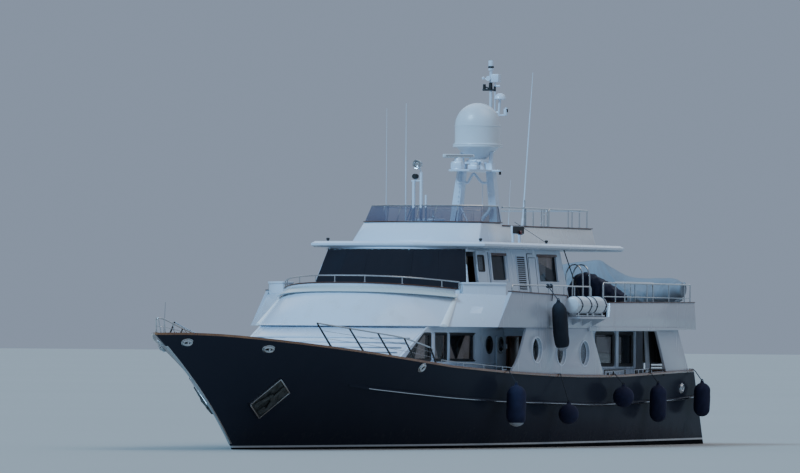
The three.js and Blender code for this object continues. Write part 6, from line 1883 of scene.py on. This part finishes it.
cover_rows = []
for i in range(COVER_ROWS + 1):
    cover_rows.append(
        [cover_point(i / COVER_ROWS, between(-1, 1, j / COVER_COLUMNS)) for j in range(COVER_COLUMNS + 1)]
    )
for end, way, deep in ((0, -1, 1), (-1, 1, 0.45)):
    section = cover_rows[end]
    heart = sum(section, Vector()) / len(section)
    for share, out in ((0.95, 0.03), (0.8, 0.075), (0.5, 0.105), (0.12, 0.115)):
        row = [heart + (p - heart) * share + Vector((0, way * out * deep, 0)) for p in section]
        cover_rows.insert(0 if end == 0 else len(cover_rows), row)
boat_cover = bmesh.new()
skin(boat_cover, cover_rows, closed=False)
area = sum(face.calc_area() for face in boat_cover.faces)
bmesh.ops.solidify(boat_cover, geom=boat_cover.faces[:], thickness=0.006)
cover = piece(
    "tender_canvas", boat_cover, grey_canvas, sharp=70, slot="grey_cover", replaces=("tender_cover",)
)
hem_line = bmesh.new()
for edge in (0, -1):
    tube(hem_line, [row[edge] + Vector((0, 0, -0.004)) for row in cover_rows[5:-5]], 0.012, 6)
seam_profile = [(-0.012, -0.006), (-0.01, 0.006), (0.01, 0.006), (0.012, -0.006)]
sweep(
    hem_line, [row[COVER_COLUMNS // 2] + Vector((0, 0, 0.002)) for row in cover_rows[6:-6]], (0, 0, 1),
    seam_profile,
)
for at in (36, 62, 108):
    sweep(hem_line, [p + Vector((0, 0, 0.002)) for p in cover_rows[at][8:-8]], (0, 0, 1), seam_profile)
hem = piece("tender_canvas_hem", hem_line, grey_canvas)
area / 4.6

# Covered craft: a small sailing craft on a cradle just forward of the tender, under its own navy cover.
# The cover is woven acrylic cloth, tied down with flat webbing.
LASHING = [(-0.006, -0.02), (0.006, -0.02), (0.006, 0.02), (-0.006, 0.02)]
CRAFT_X, CRAFT_HEM = -11.70, 4.20
# Columns: y, half width, height of the cover's top.
CRAFT = [
    (2.42, 0.20, 4.33), (2.20, 0.33, 4.48), (1.88, 0.39, 4.67), (1.60, 0.41, 4.82), (1.35, 0.42, 4.93),
    (1.15, 0.42, 4.92),
    (0.95, 0.40, 4.84), (0.80, 0.33, 4.58), (0.64, 0.18, 4.33),
]
craft_rings = []
for i in range(15):
    y = between(0.68, 2.38, i / 14)
    half = smooth(CRAFT, y)
    ring = []
    for k in range(6):
        wide, z = half * between(0.5, 0.9, (k / 6) ** 1.5), between(3.5235, CRAFT_HEM + 0.05, k / 6)
        ring += [(wide, z), (wide + 0.012, z + 0.085), (wide - 0.008, z + 0.1)]
    ring = [Vector((CRAFT_X + a, y, z)) for a, z in ring]
    craft_rings.append(ring + [Vector((2 * CRAFT_X - p.x, p.y, p.z)) for p in ring[::-1]])
craft = bmesh.new()
skin(craft, craft_rings)
piece("covered_craft_hull", craft, strap_cloth)
craft_rows = []
for i in range(61):
    y = between(0.64, 2.42, i / 60)
    half, top = smooth(CRAFT, y), smooth(CRAFT, y, 2)
    row = []
    for j in range(49):
        a = between(-1, 1, j / 48)
        turned = abs(a) * math.pi / 2
        ruck = 0.013 * math.sin(y * 31 + a * 5) + 0.010 * math.sin(
            y * 17 - a * 11
        ) + 0.02 * abs(a) * math.sin(y * 23 + a)
        z = CRAFT_HEM + (top - CRAFT_HEM) * max(math.cos(turned), 0) ** 0.62
        row.append(
            Vector(
                (
                    CRAFT_X + math.copysign(half * math.sin(turned) ** 0.8 + ruck * 0.8, a), y,
                    z + ruck * (1 - abs(a)) - 0.05 * abs(a) ** 8,
                )
            )
        )
    craft_rows.append(row)
for end, way in ((0, -1), (-1, 1)):
    section = craft_rows[end]
    heart = sum(section, Vector()) / len(section)
    for share, out in ((0.85, 0.03), (0.45, 0.05), (0.1, 0.055)):
        row = [heart + (p - heart) * share + Vector((0, way * out, 0)) for p in section]
        craft_rows.insert(0 if end == 0 else len(craft_rows), row)
craft_cover = bmesh.new()
skin(craft_cover, craft_rows, closed=False)
area = sum(face.calc_area() for face in craft_cover.faces)
bmesh.ops.solidify(craft_cover, geom=craft_cover.faces[:], thickness=0.006)
cover = piece(
    "covered_craft_cloth", craft_cover, fabric, sharp=70, slot="navy_fabric", replaces=("covered_craft",)
)
lashing = bmesh.new()
for at in (18, 44):
    sweep(lashing, [p + Vector((0, 0, 0.003)) for p in craft_rows[at]], (0, 1, 0), LASHING)
lashings = piece("covered_craft_lashings", lashing, strap_cloth)
CRAFT_CLOTH = 1.8
area / CRAFT_CLOTH

# Stairwell guards: stainless hoops at the head of the stairs to the cockpit, and a rail along their side.
# Each is bent from one length and welded to plates on the deck.
hoops = bmesh.new()
half_arch = [(-0.26, 3.52), (-0.26, 4.7), (-0.22, 4.96), (-0.12, 5.1)]
arch = half_arch + [(0, 5.14)] + [(-a, z) for a, z in half_arch[::-1]]
for x in (-8.1, -8.62):
    tube(hoops, curved([(x, 2.32 + a, z) for a, z in arch], 4), 0.021, 10)
half_rail = [(-1.48, 3.52), (-1.48, 4.4), (-1.43, 4.6), (-1.3, 4.65)]
stair_rail = [(-a, z) for a, z in half_rail] + half_rail[::-1]
tube(hoops, curved([(-11.3 + a, 2.9, z) for a, z in stair_rail], 5), 0.02, 10)
for x in (-11.0, -11.35):
    drum(hoops, (x, 2.9, 3.52), (x, 2.9, 4.65), 0.015, sides=10)
piece("stair_hoops", hoops, steel, pair=True)


# Fenders: air filled cylinders and balls in knitted navy covers, each slung by a lanyard from a rail.
# Each cover is drawn closed at its ends round the eye that the lanyard is made fast to.
# Columns: node, x, height of its middle, radius, half length, height of what it hangs from, swing in degrees.
FENDERS = [
    ("fender_1", -2.98, 3.37, 0.215, 0.70, 4.48, 14), ("fender_2", 0.3, 1.17, 0.27, 0.57, 2.18, 0),
    ("fender_3", -3.55, 0.93, 0.285, 0.285, 2.08, 0), ("fender_4", -7.9, 1.40, 0.30, 0.30, 2.07, 0),
    ("fender_5", -11.07, 1.20, 0.24, 0.53, 2.08, 0), ("fender_6", -15.2, 1.30, 0.24, 0.49, 2.15, 0),
]
KNITTED = {"patch": (4, 4), "high": 0.75, "share": 0.7, "grain": (240,), "depth": 0.002}
slate = mottled("slate_knit", (0.013, 0.017, 0.027), (0.021, 0.027, 0.039), 0.88, **KNITTED)
knit = mottled("navy_knit", (0.008, 0.010, 0.040), (0.014, 0.018, 0.064), 0.88, **KNITTED)
rope = Paint("lanyard_rope", (0.03, 0.033, 0.045), 0.85)
rope.coloured(
    (rope.z + rope.x * 0.5).rest(0.02).ramp(0.2, 0.8), (0.05, 0.054, 0.07)
).bumped(rope.z.rest(0.02), 0.002)
cuff = mottled("fender_cuff", (0.42, 0.44, 0.47), (0.32, 0.34, 0.38), 0.8, (5, 3))
for name, x, z, radius, half, hang_z, swing in FENDERS:
    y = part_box(name)[1].y - radius
    swung = Matrix.Translation((x, y, z)) @ Matrix.Rotation(math.radians(swing), 4, "Y")
    bm = bmesh.new()
    ball = radius >= half
    tall = radius * (1.5 if name == "fender_1" else 1)
    profile = [(0, -half)]
    for i in range(1, 12):
        turned = math.pi / 2 * i / 12
        pinch = 1 if ball else 0.985
        profile.append((radius * math.sin(turned) * pinch, -half + tall * (1 - math.cos(turned))))
    if not ball:
        for share in spaced(0, 1, 6):
            waist = 0.985 + 0.015 * math.sin(math.pi * share)
            profile.append((radius * waist, between(-half + tall, half - tall, share)))
    profile += [(r, -h) for r, h in profile[11:0:-1]]
    neck = half - 0.012
    profile = profile[:-2] + [
        (0.07, neck), (0.05, half + 0.02), (0.045, half + 0.05), (0.02, half + 0.058), (0, half + 0.06)
    ]
    turn(bm, profile, (0, 0, 0), steps=40)
    for vert in bm.verts:
        t = vert.co.z
        around = math.atan2(vert.co.y, vert.co.x)
        crease = 0.006 * math.sin(around * 3 + t * 7) + 0.004 * math.sin(around * 7 - t * 15)
        out = Vector((vert.co.x, vert.co.y, 0))
        if out.length > 0.08 and not ball:
            vert.co += out.normalized() * crease
    if name in ("fender_1", "fender_2"):
        for face in bm.faces:
            if face.calc_center_median().z < -half * 0.82:
                face.material_index = 1
    bmesh.ops.transform(bm, matrix=swung, verts=bm.verts)
    made = piece(
        name + "_body", bm, slate if name == "fender_1" else knit, cuff, sharp=60, slot="navy_fabric",
        replaces=(name,),
    )
    lanyard = bmesh.new()
    rail_y = smooth(BAND, x) - 0.05 if name == "fender_1" else smooth(RAIL, x) + 0.03
    eye = swung @ Vector((0, 0, half + 0.05))
    x = eye.x
    tube(lanyard, [eye + Vector((0, 0, -0.06)), eye, Vector((x, rail_y + 0.035, hang_z - 0.02))], 0.014, 8)
    if name == "fender_1":
        for knot in (x, x - 0.25):
            middle = Vector((knot, rail_y, hang_z + 0.015))
            tube(lanyard, oval(middle, Vector((0, 0.034, 0)), Vector((0, 0, 0.04)), 16), 0.024, 10)
        tail = ((0.25, 0.04, 0), (0.24, 0.06, 0.15), (0.2, 0.055, 0.4))
        tube(lanyard, [(x - a, rail_y + b, hang_z - c) for a, b, c in tail], 0.012, 8)
    else:
        over = rail_top(x) + 0.075
        turned_over = ((0.01, 0), (0.14, 0), (0.2, 0.1), (0.19, 0.35))
        fall = [(x, rail_y + 0.03, hang_z - 0.03)] + [(x, rail_y - b, over - c) for b, c in turned_over]
        tube(lanyard, fall, 0.011, 8)
        box(
            lanyard, (x - 0.13, rail_y - 0.115, over - 0.016), (x + 0.13, rail_y - 0.075, over + 0.03),
            0.012, 1,
        )
    tube(lanyard, oval(eye + Vector((0, 0, 0.01)), Vector((0, 0.03, 0)), Vector((0, 0, 0.04)), 14), 0.012, 8)
    piece(name + "_lanyard", lanyard, rope, steel)


# Stern: a teak platform in a recess of the transom, with a ladder, steps, a stern gate and a flag socket.
# The treads are screwed to brackets, and the ladder and rails are bent steel tube.
treads = bmesh.new()
for k in range(3):
    z = 0.78 + k * 0.3
    box(treads, (-15.58 - 0.28 * (2 - k) - 0.03, 1.75, z - 0.03), (-15.54, 2.32, z), 0.012)
piece("transom_steps", treads, deck_teak)
bench = bmesh.new()
box(bench, (-14.85, -2.2, 1.22), (-14.25, 2.2, 1.62), 0.03)
box(bench, (-14.9, -2.2, 1.6), (-14.78, 2.2, 2.04), 0.03)
drum(bench, (-13.2, 0, 1.2), (-13.2, 0, 1.88), 0.07)
box(bench, (-13.5, -0.3, 1.2), (-12.9, 0.3, 1.24), 0.015)
piece("cockpit_bench", bench, white)
table = bmesh.new()
top = rounded(
    [(-13.65, -0.95, 1.88), (-12.75, -0.95, 1.88), (-12.75, 0.95, 1.88), (-13.65, 0.95, 1.88)], 0.15, 8
)
plate(table, top, Vector((0, 0, 0.04)))
piece("cockpit_table", table, teak)
for i in range(3):
    low_y = -2.18 + i * 1.46
    cushion(f"cockpit_cushion_{i + 1}", (-14.82, low_y, 1.61), (-14.24, low_y + 1.43, 1.73), seat_vinyl)
ladder = bmesh.new()
for y in (-0.55, -0.95):
    tube(
        ladder, [(-16.5, y, 0.49), (-16.62, y, 0.56), (-16.76, y, 0.5), (-16.8, y, 0.2), (-16.9, y, -0.45)],
        0.018, 10,
    )
for z in (0.3, 0.05, -0.2, -0.4):
    drum(ladder, (-16.79 - (0.2 - z) * 0.15, -0.95, z), (-16.79 - (0.2 - z) * 0.15, -0.55, z), 0.015)
gate_hoop = ((1.0, 2.16), (1.0, 2.5), (0.85, 2.62), (-0.85, 2.62), (-1.0, 2.5), (-1.0, 2.16))
tube(ladder, curved([(-15.2, y, z) for y, z in gate_hoop], 4), 0.018, 10)
step_hoop = ((-15.62, 1.8), (-15.55, 2.3), (-15.45, 2.42), (-15.25, 2.42), (-15.15, 2.3), (-15.12, 2.0))
for y in (2.38, 1.7):
    tube(ladder, curved([(x, y, z) for x, z in step_hoop], 4), 0.016, 10)
drum(ladder, (-15.32, 0, 2.1), (-15.62, 0, 3.7), 0.02, 0.012)
piece("stern_ladder_and_rails", ladder, steel)

# Running gear: bronze four bladed screws and spade rudders, on steel shafts carried by V brackets.
# The screws are cast and keyed to their shafts, and the rudder stocks pass up through the hull.
bronze = Paint("propeller_bronze", (0.36, 0.21, 0.085), 0.3, Metallic=1)
tarnish = bronze.noise(9, 5)
bronze.coloured(
    tarnish.ramp(0.42, 0.72), (0.17, 0.12, 0.06)
).rough(0.24 + tarnish * 0.3).bumped(tarnish, 0.002)
for side in ("port", "starboard"):
    refined("propeller_" + side, bronze, edge=0.004, body="propeller_" + side, slot="bronze")
    refined("rudder_" + side, bronze, body="rudder_" + side, slot="bronze")
    refined("shaft_line_" + side, steel, edge=0.004, slot="steel")
skeg = bmesh.new()
keel = ((7.8, -1.15), (6.2, -1.95), (-10.2, -1.95), (-11.4, -0.9))
plate(skeg, [Vector((x, -0.14, z)) for x, z in keel], Vector((0, 0.28, 0)))
ease(skeg, corners_of(skeg), 0.05, 3)
piece("skeg", skeg, navy)
